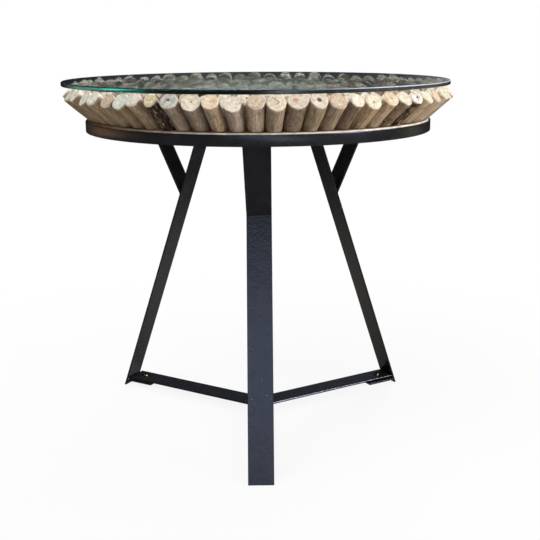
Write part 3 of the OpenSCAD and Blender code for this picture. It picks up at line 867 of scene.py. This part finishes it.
def wood_data(shape, look, bleach_and_painted_light, random):
    """Values of every attribute at every point of a carved stick, as arrays (points, components)."""
    count = shape["run"].size
    everywhere = np.ones((count, 1))
    across = (shape["reach"][..., None] * np.stack([np.cos(shape["angle"]) + 0 * shape["reach"],
                                                    np.sin(shape["angle"]) + 0 * shape["reach"]], axis=-1))
    grain = np.concatenate([across, shape["run"][..., None]], axis=-1).reshape(count, 3) / mm
    spin = random.uniform(0, 2 * np.pi) if look["turn"] is None else math.radians(look["turn"])
    section = across.reshape(count, 2) / shape["radius"] - random.normal(0, 0.05, 2)
    turned = np.column_stack([section @ [np.cos(spin), np.sin(spin)],
                              section @ [-np.sin(spin), np.cos(spin)]])
    number = random.uniform(0, 1)
    rise = shape["across"][..., 2] + 0 * shape["run"]
    to_end = (shape["end"] - shape["run"]) / mm
    # the wall is bleached near the sawn end, and its upper side is lighter, further down and all along,
    # which is painted light from above
    pale = bleach_and_painted_light * np.exp(-np.maximum(to_end, 0) / (3.5 + 18 * np.clip(rise + 0.15, 0, 1)))
    pale = np.clip(pale + bleach_and_painted_light * np.clip(rise - 0.1, 0, 1) * 0.9, 0, 1)
    return {
        "grain": grain + random.uniform(0, 900, 3),
        "section": np.column_stack([turned, np.full(count, number)]),
        "body_tone": vary_colour(look["body"], random) * everywhere,
        "end_tone": vary_colour(look["end"], random, 0.04) * everywhere,
        "marks": np.array([look["rings"], look["speckle"], look["crack"]]) * everywhere,
        "scars": np.array([look["bark"], look["pith"] * mm / shape["radius"], look["knot"]]) * everywhere,
        # painted shade also takes the pale end and the painted light off the walls
        "bleach_and_painted_light": pale.reshape(count, 1) * (1 - look["painted_shade"]),
        "blotch": look["blotch"] * everywhere,
        "painted_shade": look["painted_shade"] * everywhere,
    }


def gather(name, node, chosen, around, along, rounding, drop, bleach_and_painted_light, random):
    """One piece from all sticks of a node: carved, stacked into one mesh and given their attributes."""
    points, faces, ends, data = [], [], [], {kind: [] for kind in attribute_kinds}
    for stick, look in zip(sticks[node], chosen):
        shape = carve(stick, look, around, along, rounding, drop, random)
        rings = len(shape["points"])
        first = sum(len(block) for block in points)
        points.append(shape["points"].reshape(-1, 3))
        faces += ring_faces(rings, around, first)
        sawn = np.arange(rings - 1).repeat(around) >= shape["rings"]
        ends += [*sawn.tolist(), False, True]
        for kind, values in wood_data(shape, look, bleach_and_painted_light, random).items():
            data[kind].append(values)
    piece = make_mesh(name, np.concatenate(points), faces, [weathered_wall, sawn_end], 50)
    piece.data.polygons.foreach_set("material_index", np.array(ends, np.int32))
    for kind, values in data.items():
        layer = piece.data.attributes.new(kind, attribute_kinds[kind], "POINT")
        field = {"FLOAT": "value", "FLOAT_VECTOR": "vector", "FLOAT_COLOR": "color"}[attribute_kinds[kind]]
        layer.data.foreach_set(field, np.concatenate(values).astype(np.float32).ravel())
    fit_out(piece, "driftwood", node)


# %% [markdown]
# ## Driftwood: the two materials
# Driftwood is wood that water has stripped, then sun has greyed. Its wall is matt, with streaks a
# millimetre wide that run for centimetres along the grain, brown where it was wet, silver where it
# dried, and nearly white near the sawn end, where sanding reached it. Its upper side is lighter as
# well, which is painted light from above. A few sticks keep scraps of bark. The sawn end shows paler,
# fresher wood with faint year rings a millimetre apart, a dark pith, worm specks and drying cracks,
# and under the glass the slopes of the worn ends carry painted shade.

# %% Weathered wall
def weathered_wood():
    """Wall of a stick. Noise stretched along the grain attribute, about 1 mm across and 20 mm long,
    runs a dark-to-light ramp that multiplies the stick's own tone. Grey patches, brown blotches and
    scraps of bark lie on that. Near-white shows through where the attribute is strong: bleaching
    near the sawn end, and painted light on the upper side."""
    material, tree = empty_material("weathered_driftwood")
    grain = add_node(tree, "Attribute", attribute_name="grain").outputs["Vector"]
    body = add_node(tree, "Attribute", attribute_name="body_tone").outputs["Color"]
    bleach_and_painted_light = add_node(tree, "Attribute", attribute_name="bleach_and_painted_light").outputs["Fac"]
    scars = add_node(tree, "SeparateXYZ",
                     {"Vector": add_node(tree, "Attribute", attribute_name="scars").outputs["Vector"]})

    # streaks 2 mm and fibres 0.4 mm apart that run along the grain, and patches 13 mm wide
    stretched = add_node(tree, "VectorMath", {"Vector": grain, "Vector_001": (0.5, 0.5, 0.04)},
                         operation="MULTIPLY")
    streak = add_node(tree, "TexNoise", {"Vector": stretched.outputs[0], "Scale": 1.0, "Detail": 6.0,
                                         "Roughness": 0.62, "Distortion": 0.25})
    fine = add_node(tree, "VectorMath", {"Vector": grain, "Vector_001": (2.6, 2.6, 0.22)},
                    operation="MULTIPLY")
    fibre = add_node(tree, "TexNoise", {"Vector": fine.outputs[0], "Scale": 1.0, "Detail": 3.0,
                                        "Roughness": 0.6})
    patch = add_node(tree, "TexNoise", {"Vector": grain, "Scale": 0.075, "Detail": 3.0, "Roughness": 0.55})

    # the stick's own tone, streaked, silvered in patches and lined with fibres
    streak_tone = add_node(tree, "ValToRGB", {"Fac": streak.outputs["Fac"]},
                           stops=((0.26, "#8f847a"), (0.46, "#cfc6bc"), (0.6, "#efe9e0"), (0.74, "#fffdf8")))
    toned = add_node(tree, "Mix", {"Factor_Float": 1.0, "A_Color": body,
                                   "B_Color": streak_tone.outputs["Color"]}, data_type="RGBA",
                     blend_type="MULTIPLY")
    grey = add_node(tree, "MapRange", {"Value": patch.outputs["Fac"], "From Min": 0.5, "From Max": 0.68,
                                       "To Max": 0.55}, interpolation_type="SMOOTHSTEP")
    greyed = add_node(tree, "Mix", {"Factor_Float": grey.outputs[0], "A_Color": toned.outputs[2],
                                    "B_Color": linear("#6d675e")}, data_type="RGBA")
    fibre_tone = add_node(tree, "ValToRGB", {"Fac": fibre.outputs["Fac"]},
                          stops=((0.35, "#b9aea2"), (0.65, "#ffffff")))
    fibred = add_node(tree, "Mix", {"Factor_Float": 0.8, "A_Color": greyed.outputs[2],
                                    "B_Color": fibre_tone.outputs["Color"]}, data_type="RGBA",
                      blend_type="MULTIPLY")

    # brown blotches 4 mm wide and 10 mm long, where it stayed wet
    stain = add_node(tree, "VectorMath", {"Vector": grain, "Vector_001": (0.26, 0.26, 0.1)},
                     operation="MULTIPLY")
    stained = add_node(tree, "TexNoise", {"Vector": stain.outputs[0], "Scale": 1.0, "Detail": 5.0,
                                          "Roughness": 0.65, "Distortion": 0.5})
    blotch_edge = add_node(tree, "MapRange", {"Value": stained.outputs["Fac"], "From Min": 0.5,
                                              "From Max": 0.62}, interpolation_type="SMOOTHSTEP")
    blotch_share = add_node(tree, "Attribute", attribute_name="blotch").outputs["Fac"]
    blotch_mask = add_node(tree, "Math", {"Value": blotch_edge.outputs[0], "Value_001": blotch_share},
                           operation="MULTIPLY")
    blotched = add_node(tree, "Mix", {"Factor_Float": blotch_mask.outputs[0], "A_Color": fibred.outputs[2],
                                      "B_Color": linear("#5a473a")}, data_type="RGBA")

    # scraps of bark, which spread from the patches as the look's share grows
    bark_edge = add_node(tree, "Math", {"Value": patch.outputs["Fac"], "Value_001": 0.9,
                                        "Value_002": scars.outputs["X"]}, operation="MULTIPLY_ADD")
    bark = add_node(tree, "MapRange", {"Value": bark_edge.outputs[0], "From Min": 0.86, "From Max": 0.94},
                    interpolation_type="SMOOTHSTEP")
    bark_tone = add_node(tree, "ValToRGB", {"Fac": stained.outputs["Fac"]},
                         stops=((0.36, "#1d1814"), (0.5, "#3c2f25"), (0.56, "#6c563f"), (0.62, "#8a5634"),
                                (0.7, "#cdbda6")))
    barked = add_node(tree, "Mix", {"Factor_Float": bark.outputs[0], "A_Color": blotched.outputs[2],
                                    "B_Color": bark_tone.outputs["Color"]}, data_type="RGBA")

    # nearly white near the sawn end, where sanding reached, and on the upper side, which is painted light
    # from above; the edge is ragged
    ragged = add_node(tree, "Math", {"Value": patch.outputs["Fac"], "Value_001": 0.9, "Value_002": bleach_and_painted_light},
                      operation="MULTIPLY_ADD")
    bleached_and_lit = add_node(tree, "MapRange", {"Value": ragged.outputs[0], "From Min": 0.6, "From Max": 1.15},
                     interpolation_type="SMOOTHSTEP")
    pale_tone = add_node(tree, "ValToRGB", {"Fac": fibre.outputs["Fac"]},
                         stops=((0.3, "#e6d7ba"), (0.7, "#fdf4e0")))
    wall = add_node(tree, "Mix", {"Factor_Float": bleached_and_lit.outputs[0], "A_Color": barked.outputs[2],
                                  "B_Color": pale_tone.outputs["Color"]}, data_type="RGBA")

    relief = add_node(tree, "Math", {"Value": streak.outputs["Fac"], "Value_001": 1.5,
                                     "Value_002": fibre.outputs["Fac"]}, operation="MULTIPLY_ADD")
    bump = add_node(tree, "Bump", {"Height": relief.outputs[0], "Distance": 0.4 * mm, "Strength": 0.7})
    shader = add_node(tree, "BsdfPrincipled", {"Base Color": wall.outputs[2], "Roughness": 0.82, "IOR": 1.45,
                                               "Specular IOR Level": 0.3, "Normal": bump.outputs[0]})
    add_node(tree, "OutputMaterial", {"Surface": shader.outputs[0]})
    return material


# %% Sawn end
def sawn_wood():
    """Sawn end of a stick. section holds the place across the end in stick radii from the pith:
    its length runs the year rings, about one in a tenth of the radius."""
    material, tree = empty_material("sawn_driftwood_end")
    place = add_node(tree, "Attribute", attribute_name="section").outputs["Vector"]
    grain = add_node(tree, "Attribute", attribute_name="grain").outputs["Vector"]
    tone = add_node(tree, "Attribute", attribute_name="end_tone").outputs["Color"]
    marks = add_node(tree, "SeparateXYZ",
                     {"Vector": add_node(tree, "Attribute", attribute_name="marks").outputs["Vector"]})
    scars = add_node(tree, "SeparateXYZ",
                     {"Vector": add_node(tree, "Attribute", attribute_name="scars").outputs["Vector"]})
    level = add_node(tree, "VectorMath", {"Vector": place, "Vector_001": (1, 1, 0)},
                     operation="MULTIPLY").outputs[0]
    radius = add_node(tree, "VectorMath", {"Vector": level}, operation="LENGTH").outputs["Value"]

    # year rings: sin(58 * radius) of a radius bent by slow noise, some nine rings in a stick's radius
    uneven = add_node(tree, "TexNoise", {"Vector": grain, "Scale": 0.16, "Detail": 2.0})
    bent = add_node(tree, "Math", {"Value": uneven.outputs["Fac"], "Value_001": 0.22, "Value_002": radius},
                    operation="MULTIPLY_ADD")
    ring_phase = add_node(tree, "Math", {"Value": bent.outputs[0], "Value_001": 58.0}, operation="MULTIPLY")
    ring_wave = add_node(tree, "Math", {"Value": ring_phase.outputs[0]}, operation="SINE")
    ring_share = add_node(tree, "MapRange", {"Value": ring_wave.outputs[0], "From Min": 0.0, "From Max": 1.0,
                                             "To Min": 0.0, "To Max": 0.55})
    ring_mask = add_node(tree, "Math", {"Value": ring_share.outputs[0], "Value_001": marks.outputs["X"]},
                         operation="MULTIPLY")
    ringed = add_node(tree, "Mix", {"Factor_Float": ring_mask.outputs[0], "A_Color": tone,
                                    "B_Color": linear("#a58a68")}, data_type="RGBA")

    # cloudy stains about 5 mm wide
    cloud = add_node(tree, "TexNoise", {"Vector": grain, "Scale": 0.22, "Detail": 4.0, "Roughness": 0.6})
    cloud_tone = add_node(tree, "ValToRGB", {"Fac": cloud.outputs["Fac"]},
                          stops=((0.32, "#c6beb4"), (0.62, "#fdfeff")))
    clouded = add_node(tree, "Mix", {"Factor_Float": 0.85, "A_Color": ringed.outputs[2],
                                     "B_Color": cloud_tone.outputs["Color"]}, data_type="RGBA",
                       blend_type="MULTIPLY")

    # a thin brown line near the rim of the end
    edge_place = add_node(tree, "Math", {"Value": bent.outputs[0], "Value_001": 0.96, "Value_002": 0.035},
                          operation="COMPARE")
    edge_mask = add_node(tree, "Math", {"Value": edge_place.outputs[0], "Value_001": 0.3},
                         operation="MULTIPLY")
    edged = add_node(tree, "Mix", {"Factor_Float": edge_mask.outputs[0], "A_Color": clouded.outputs[2],
                                   "B_Color": linear("#8a6f50")}, data_type="RGBA")

    # painted shade outside seven tenths of the radius, on the slopes that neighbouring sticks shade
    slope = add_node(tree, "MapRange", {"Value": radius, "From Min": 0.7, "From Max": 1.0},
                     interpolation_type="SMOOTHSTEP")
    painted_shade = add_node(tree, "Attribute", attribute_name="painted_shade").outputs["Fac"]
    painted_shade_mask = add_node(tree, "Math", {"Value": slope.outputs[0], "Value_001": painted_shade},
                          operation="MULTIPLY")
    with_painted_shade = add_node(tree, "Mix", {"Factor_Float": painted_shade_mask.outputs[0], "A_Color": edged.outputs[2],
                                   "B_Color": linear("#4c4236")}, data_type="RGBA")

    # worm specks under a millimetre wide
    flecks = add_node(tree, "TexNoise", {"Vector": grain, "Scale": 1.5, "Detail": 3.0, "Roughness": 0.7,
                                         "Distortion": 0.6})
    fleck_edge = add_node(tree, "Math", {"Value": marks.outputs["Y"], "Value_001": 0.13,
                                         "Value_002": flecks.outputs["Fac"]}, operation="MULTIPLY_ADD")
    fleck = add_node(tree, "MapRange", {"Value": fleck_edge.outputs[0], "From Min": 0.64, "From Max": 0.7,
                                        "To Max": 0.75}, interpolation_type="SMOOTHSTEP")
    flecked = add_node(tree, "Mix", {"Factor_Float": fleck.outputs[0], "A_Color": with_painted_shade.outputs[2],
                                     "B_Color": linear("#8d6547")}, data_type="RGBA")

    # a knot beside the pith
    knot_place = add_node(tree, "VectorMath", {"Vector": level, "Vector_001": (0.34, 0.05, 0)},
                          operation="DISTANCE")
    knot_edge = add_node(tree, "MapRange", {"Value": knot_place.outputs["Value"], "From Min": 0.5,
                                            "From Max": 0.16}, interpolation_type="SMOOTHSTEP")
    knot_mask = add_node(tree, "Math", {"Value": knot_edge.outputs[0], "Value_001": scars.outputs["Z"]},
                         operation="MULTIPLY")
    knotted = add_node(tree, "Mix", {"Factor_Float": knot_mask.outputs[0], "A_Color": flecked.outputs[2],
                                     "B_Color": linear("#ba8a68")}, data_type="RGBA")

    # a crack like a V: two arms that leave one corner, bent by the same slow noise
    shake = add_node(tree, "VectorMath", {"Vector": uneven.outputs["Color"], "Vector_001": (0.16, 0.16, 0.0),
                                          "Vector_002": level}, operation="MULTIPLY_ADD").outputs[0]
    corner = add_node(tree, "VectorMath", {"Vector": shake, "Vector_001": (0.5, 0.1, 0)},
                      operation="SUBTRACT").outputs[0]
    arms = []
    for heading, length in ((140.0, 1.35), (222.0, 0.75)):
        turn = math.radians(heading)
        arm_way, side_way = (math.cos(turn), math.sin(turn), 0), (math.sin(turn), -math.cos(turn), 0)
        off = add_node(tree, "VectorMath", {"Vector": corner, "Vector_001": side_way},
                       operation="DOT_PRODUCT").outputs["Value"]
        off = add_node(tree, "Math", {"Value": off}, operation="ABSOLUTE").outputs[0]
        line = add_node(tree, "MapRange", {"Value": off, "From Min": 0.075, "From Max": 0.03}).outputs[0]
        ahead = add_node(tree, "VectorMath", {"Vector": corner, "Vector_001": arm_way},
                         operation="DOT_PRODUCT").outputs["Value"]
        within = add_node(tree, "Math", {"Value": ahead, "Value_001": length / 2, "Value_002": length / 2},
                          operation="COMPARE").outputs[0]
        arms.append(add_node(tree, "Math", {"Value": line, "Value_001": within},
                             operation="MULTIPLY").outputs[0])
    crack_total = add_node(tree, "Math", {"Value": arms[0], "Value_001": arms[1]},
                           operation="MAXIMUM").outputs[0]
    crack_mask = add_node(tree, "Math", {"Value": crack_total, "Value_001": marks.outputs["Z"]},
                          operation="MULTIPLY")
    cracked = add_node(tree, "Mix", {"Factor_Float": crack_mask.outputs[0], "A_Color": knotted.outputs[2],
                                     "B_Color": linear("#5d4a38")}, data_type="RGBA")

    # the pith, a dark round in the middle, and on the hollow stick painted shade in its hole
    pith_edge = add_node(tree, "Math", {"Value": radius, "Value_001": scars.outputs["Y"]},
                         operation="SUBTRACT")
    pith = add_node(tree, "MapRange", {"Value": pith_edge.outputs[0], "From Min": 0.02, "From Max": -0.02})
    pith_and_hole_shaded = add_node(tree, "Mix", {"Factor_Float": pith.outputs[0], "A_Color": cracked.outputs[2],
                                    "B_Color": linear("#4a3727")}, data_type="RGBA")

    relief = add_node(tree, "Math", {"Value": crack_mask.outputs[0], "Value_001": -1.5,
                                     "Value_002": flecks.outputs["Fac"]}, operation="MULTIPLY_ADD")
    bump = add_node(tree, "Bump", {"Height": relief.outputs[0], "Distance": 0.3 * mm, "Strength": 0.6})
    shader = add_node(tree, "BsdfPrincipled", {"Base Color": pith_and_hole_shaded.outputs[2], "Roughness": 0.78,
                                               "IOR": 1.45, "Specular IOR Level": 0.3,
                                               "Normal": bump.outputs[0]})
    add_node(tree, "OutputMaterial", {"Surface": shader.outputs[0]})
    return material


weathered_wall = weathered_wood()
sawn_end = sawn_wood()
print("materials of the wood:", weathered_wall.name, "and", sawn_end.name)

# %% [markdown]
# ## Driftwood: stand the sticks up
# The rim sticks are seen from close by and get fine rings. The sticks behind them show only their
# tops, between the rim sticks and through the glass. They make do with few rings and faces, their
# ends are worn quite round, and painted shade darkens the slopes of those ends. Random numbers start
# from a fixed seed, so that the same table comes out each time.

# %% Rim and bed sticks
# a stick takes the look of a place in front that is less than this many degrees away
same_stick = 3.5
# how much painted shade darkens the slopes of the bed sticks' ends, from 0 to 1
bed_painted_shade = 0.95


def front_look(stick, random):
    """The look that the photograph shows at a stick's direction, or a plain one at the sides and back."""
    bearing = math.degrees(math.atan2(stick["foot"][0], -stick["foot"][1]))
    gap, name = min((abs(bearing - place), name) for place, name in front_row)
    return looks[name] if gap < same_stick else looks[random.choice(plain_rim_looks)]


for number, node in enumerate(rim_nodes):
    random = np.random.default_rng(100 + number)
    chosen = [front_look(stick, random) for stick in sticks[node]]
    gather("rim_driftwood_%02d" % (number + 1), node, chosen, around=56, along=26, rounding=1.5 * mm,
           drop=1.4 * mm, bleach_and_painted_light=0.6, random=random)
for number, node in enumerate(bed_nodes):
    random = np.random.default_rng(500 + number)
    chosen = [{**looks[random.choice(bed_looks)], "painted_shade": bed_painted_shade} for _ in sticks[node]]
    gather("bed_driftwood_%02d" % (number + 1), node, chosen, around=20, along=5, rounding=8 * mm,
           drop=0, bleach_and_painted_light=0.9, random=random)
print("pieces of driftwood:", len(rim_nodes) + len(bed_nodes))

# %% [markdown]
# ## Fasteners
# A bolt holds each arm to its foot tab. Its low domed head has a hexagon socket and bronze-coloured
# plating that is worn bright. The screws under the straps hold the board. Both are turned shapes;
# in the socket the ring is a hexagon: radius = flat / cos(angle within one sixth). The nuts, plated
# with zinc, and the nylon washers keep their solids.

# %% Bolts and screws
def plated_steel(name, dark, bright, roughness):
    """Electroplated steel: a thin metal film, brighter where handling has worn it."""
    material, tree = empty_material(name)
    place = add_node(tree, "TexCoord").outputs["Object"]
    wear = add_node(tree, "TexNoise", {"Vector": place, "Scale": 420.0, "Detail": 4.0, "Roughness": 0.6})
    tone = add_node(tree, "ValToRGB", {"Fac": wear.outputs["Fac"]}, stops=((0.35, dark), (0.65, bright)))
    bump = add_node(tree, "Bump", {"Height": wear.outputs["Fac"], "Distance": 0.1 * mm, "Strength": 0.4})
    shader = add_node(tree, "BsdfPrincipled", {"Base Color": tone.outputs["Color"], "Metallic": 1.0,
                                               "Roughness": roughness, "Normal": bump.outputs[0]})
    add_node(tree, "OutputMaterial", {"Surface": shader.outputs[0]})
    return material


def black_nylon():
    """Moulded nylon: matt black with a faint grain from the mould, drawn coarser than real, at 0.7 mm."""
    material, tree = empty_material("moulded_black_nylon")
    place = add_node(tree, "TexCoord").outputs["Object"]
    grain = add_node(tree, "TexNoise", {"Vector": place, "Scale": 1500.0, "Detail": 2.0})
    tone = add_node(tree, "ValToRGB", {"Fac": grain.outputs["Fac"]},
                    stops=((0.4, "#161616"), (0.6, "#222222")))
    bump = add_node(tree, "Bump", {"Height": grain.outputs["Fac"], "Distance": 0.05 * mm, "Strength": 0.4})
    shader = add_node(tree, "BsdfPrincipled", {"Base Color": tone.outputs["Color"], "Roughness": 0.6,
                                               "IOR": 1.53, "Normal": bump.outputs[0]})
    add_node(tree, "OutputMaterial", {"Surface": shader.outputs[0]})
    return material


def button_bolt(corners, around=48):
    """Points of a turned bolt whose solid has these corners: shank, flat under the head, dome and
    hexagon socket. A bolt whose head is at the bottom is the same shape turned over."""
    points = corners.reshape(-1, 3)
    low, high = points[:, 2].min(), points[:, 2].max()
    centre = (points.min(axis=0) + points.max(axis=0)) / 2
    radial = np.hypot(*(points - centre)[:, :2].T)
    head_radius = radial.max()
    upright = points[radial > 0.98 * head_radius, 2].mean() > (low + high) / 2
    shank_radius = radial[np.abs(points[:, 2] - (low if upright else high)) < 0.05 * mm].max()
    rim = points[radial > 0.98 * head_radius, 2]
    under = rim.min() if upright else rim.max()
    tip, crown = (low, high) if upright else (high, low)
    rise = crown - under
    sweep = np.radians(np.array([8, 25, 42, 58, 72]))
    dome = np.column_stack([head_radius * np.cos(sweep),
                            under + rise * (0.12 + 0.88 * np.sin(sweep) ** 0.9)])
    socket = 0.36 * head_radius
    profile = np.vstack([[shank_radius * 0.9, tip], [shank_radius, tip + 0.1 * (under - tip)],
                         [shank_radius, under], [head_radius * 0.97, under],
                         [head_radius, under + 0.1 * rise], dome, [socket * 1.12, crown],
                         [socket, crown - 0.05 * rise], [socket, under + 0.35 * rise],
                         [socket * 0.2, under + 0.25 * rise]])
    rings = lathe_points(profile, around)
    angle = np.linspace(0, 2 * np.pi, around, endpoint=False)
    # the last four rings are the socket's; their flats lie 0.93 of the circle's radius from the middle
    hexagon = 0.93 / np.cos((angle + np.pi / 6) % (np.pi / 3) - np.pi / 6)
    rings[-4:, :, :2] *= hexagon[None, :, None]
    rings[..., :2] += centre[:2]
    return rings if upright else rings[:, ::-1]


def make_bolts(name, node, material, slot):
    """All bolts of a node as one piece, each turned to the size and place of its solid."""
    stacks = [button_bolt(solid) for solid in solids_of(node)]
    rings, around = stacks[0].shape[:2]
    faces = [face for k in range(len(stacks)) for face in ring_faces(rings, around, k * rings * around)]
    fit_out(make_mesh(name, np.concatenate(stacks), faces, [material]), slot, node)
    print(name + ":", len(stacks))


bronze = plated_steel("bronze_plated_steel", "#5a3f2e", "#b08a68", 0.32)
zinc = plated_steel("zinc_plated_steel", "#8d9094", "#c4c7ca", 0.35)
make_bolts("button_head_bolts", "foot_bolts", bronze, "bronze_plated_steel")
make_bolts("pan_head_screws", "board_screws", zinc, "zinc_plated_steel")
dress("foot_nuts", zinc)
round_arrises("foot_nuts", 0.4 * mm)
dress("foot_washers", black_nylon())
round_arrises("foot_washers", 0.2 * mm)

# %% [markdown]
# ## Glass top
# Float glass is clear through its thickness and green through its length, because a trace of iron
# drinks red light. So the colour is not painted on the rim: it is the glass's absorption, hardly
# visible across 6 mm and deep green along the chords that light runs inside the disc. The rim was
# ground and polished, which leaves it a little dull, most on the upper arris. Towards the right the
# ground rim is also partly matt white, a painted highlight that the lamps light. Light for the
# wood below passes straight through, which spares the renderer a search for it.

# %% Glass
glass_around = 360
lower_arris, upper_arris = 0.4 * mm, 1.1 * mm
# the part of the surface that refracts and mirrors nothing, as if seen with a polarising filter
unglared_share = 0.18
# how much of the grinding is left, from surfaces that face down (0) over the wall (0.5) to those
# that face up (1): a little on the wall, all of it on the upper arris, none on the two faces
wall_and_arris = ((0.04, "#000000"), (0.1, "#595959"), (0.6, "#595959"), (0.7, "#ffffff"), (0.92, "#ffffff"),
                  (0.98, "#000000"))


def float_glass():
    """Clear soda-lime glass, IOR 1.52, that absorbs red most. Roughness = 0.35 * grinding + smears.
    Towards the right of the rim the ground parts also turn partly matt white, a painted highlight that
    the lamps light. Shadow and diffuse rays see it clear."""
    material, tree = empty_material("polished_float_glass")
    place = add_node(tree, "TexCoord").outputs["Object"]
    smears = add_node(tree, "TexNoise", {"Vector": place, "Scale": 18.0, "Detail": 5.0, "Roughness": 0.7})
    gloss = add_node(tree, "MapRange", {"Value": smears.outputs["Fac"], "From Min": 0.45, "From Max": 0.75,
                                        "To Min": 0.0, "To Max": 0.015})
    facing = add_node(tree, "SeparateXYZ", {"Vector": add_node(tree, "NewGeometry").outputs["Normal"]})
    tilt = add_node(tree, "Math", {"Value": facing.outputs["Z"], "Value_001": 0.5, "Value_002": 0.5},
                    operation="MULTIPLY_ADD")
    ground = add_node(tree, "ValToRGB", {"Fac": tilt.outputs[0]}, stops=wall_and_arris)
    across = add_node(tree, "SeparateXYZ", {"Vector": place})
    # painted highlight: towards the right the ground wall and arris lose up to half their transmission and
    # show matt white
    highlight_matting = add_node(tree, "MapRange", {"Value": across.outputs["X"], "From Min": 35 * mm,
                                          "From Max": 170 * mm, "To Max": -0.5})
    clearness = add_node(tree, "Math", {"Value": ground.outputs["Color"], "Value_001": highlight_matting.outputs[0],
                                        "Value_002": 1.0}, operation="MULTIPLY_ADD")
    gloss = add_node(tree, "Math", {"Value": ground.outputs["Color"], "Value_001": 0.35,
                                    "Value_002": gloss.outputs[0]}, operation="MULTIPLY_ADD")
    glass = add_node(tree, "BsdfPrincipled", {"Base Color": linear("#ffffff"), "Roughness": gloss.outputs[0],
                                              "IOR": 1.52, "Transmission Weight": clearness.outputs[0]})
    unglared = add_node(tree, "BsdfRefraction", {"Color": linear("#ffffff"), "Roughness": 0.0, "IOR": 1.52})
    glass = add_node(tree, "MixShader", {"Fac": unglared_share, "Shader": glass.outputs[0],
                                         "Shader_001": unglared.outputs[0]})
    clear = add_node(tree, "BsdfTransparent", {"Color": linear("#ffffff")})
    path = add_node(tree, "LightPath")
    through = add_node(tree, "Math", {"Value": path.outputs["Is Shadow Ray"],
                                      "Value_001": path.outputs["Is Diffuse Ray"]}, operation="MAXIMUM")
    mix = add_node(tree, "MixShader", {"Fac": through.outputs[0], "Shader": glass.outputs[0],
                                       "Shader_001": clear.outputs[0]})
    tint = add_node(tree, "VolumeAbsorption", {"Color": linear("#3cd7d0"), "Density": 6.0})
    seen_tint = add_node(tree, "MixShader", {"Fac": through.outputs[0], "Shader": tint.outputs[0]})
    add_node(tree, "OutputMaterial", {"Surface": mix.outputs[0], "Volume": seen_tint.outputs[0]})
    return material


glass_radius = (glass_high.x - glass_low.x) / 2
glass_centre = (glass_low + glass_high) / 2
glass_profile = np.array([[glass_radius / 2, glass_under], [glass_radius - lower_arris, glass_under],
                          [glass_radius, glass_under + lower_arris],
                          [glass_radius, glass_high.z - upper_arris],
                          [glass_radius - upper_arris, glass_high.z], [glass_radius / 2, glass_high.z]])
glass_points = lathe_points(glass_profile, glass_around)
glass_points[..., :2] += [glass_centre.x, glass_centre.y]
glass = make_mesh("float_glass_disc", glass_points, ring_faces(len(glass_profile), glass_around),
                  [float_glass()], 30)
fit_out(glass, "clear_float_glass", "glass_top")
print("glass:", round(2 * glass_radius / mm, 1), "mm across,", round((glass_high.z - glass_under) / mm, 1),
      "mm thick")
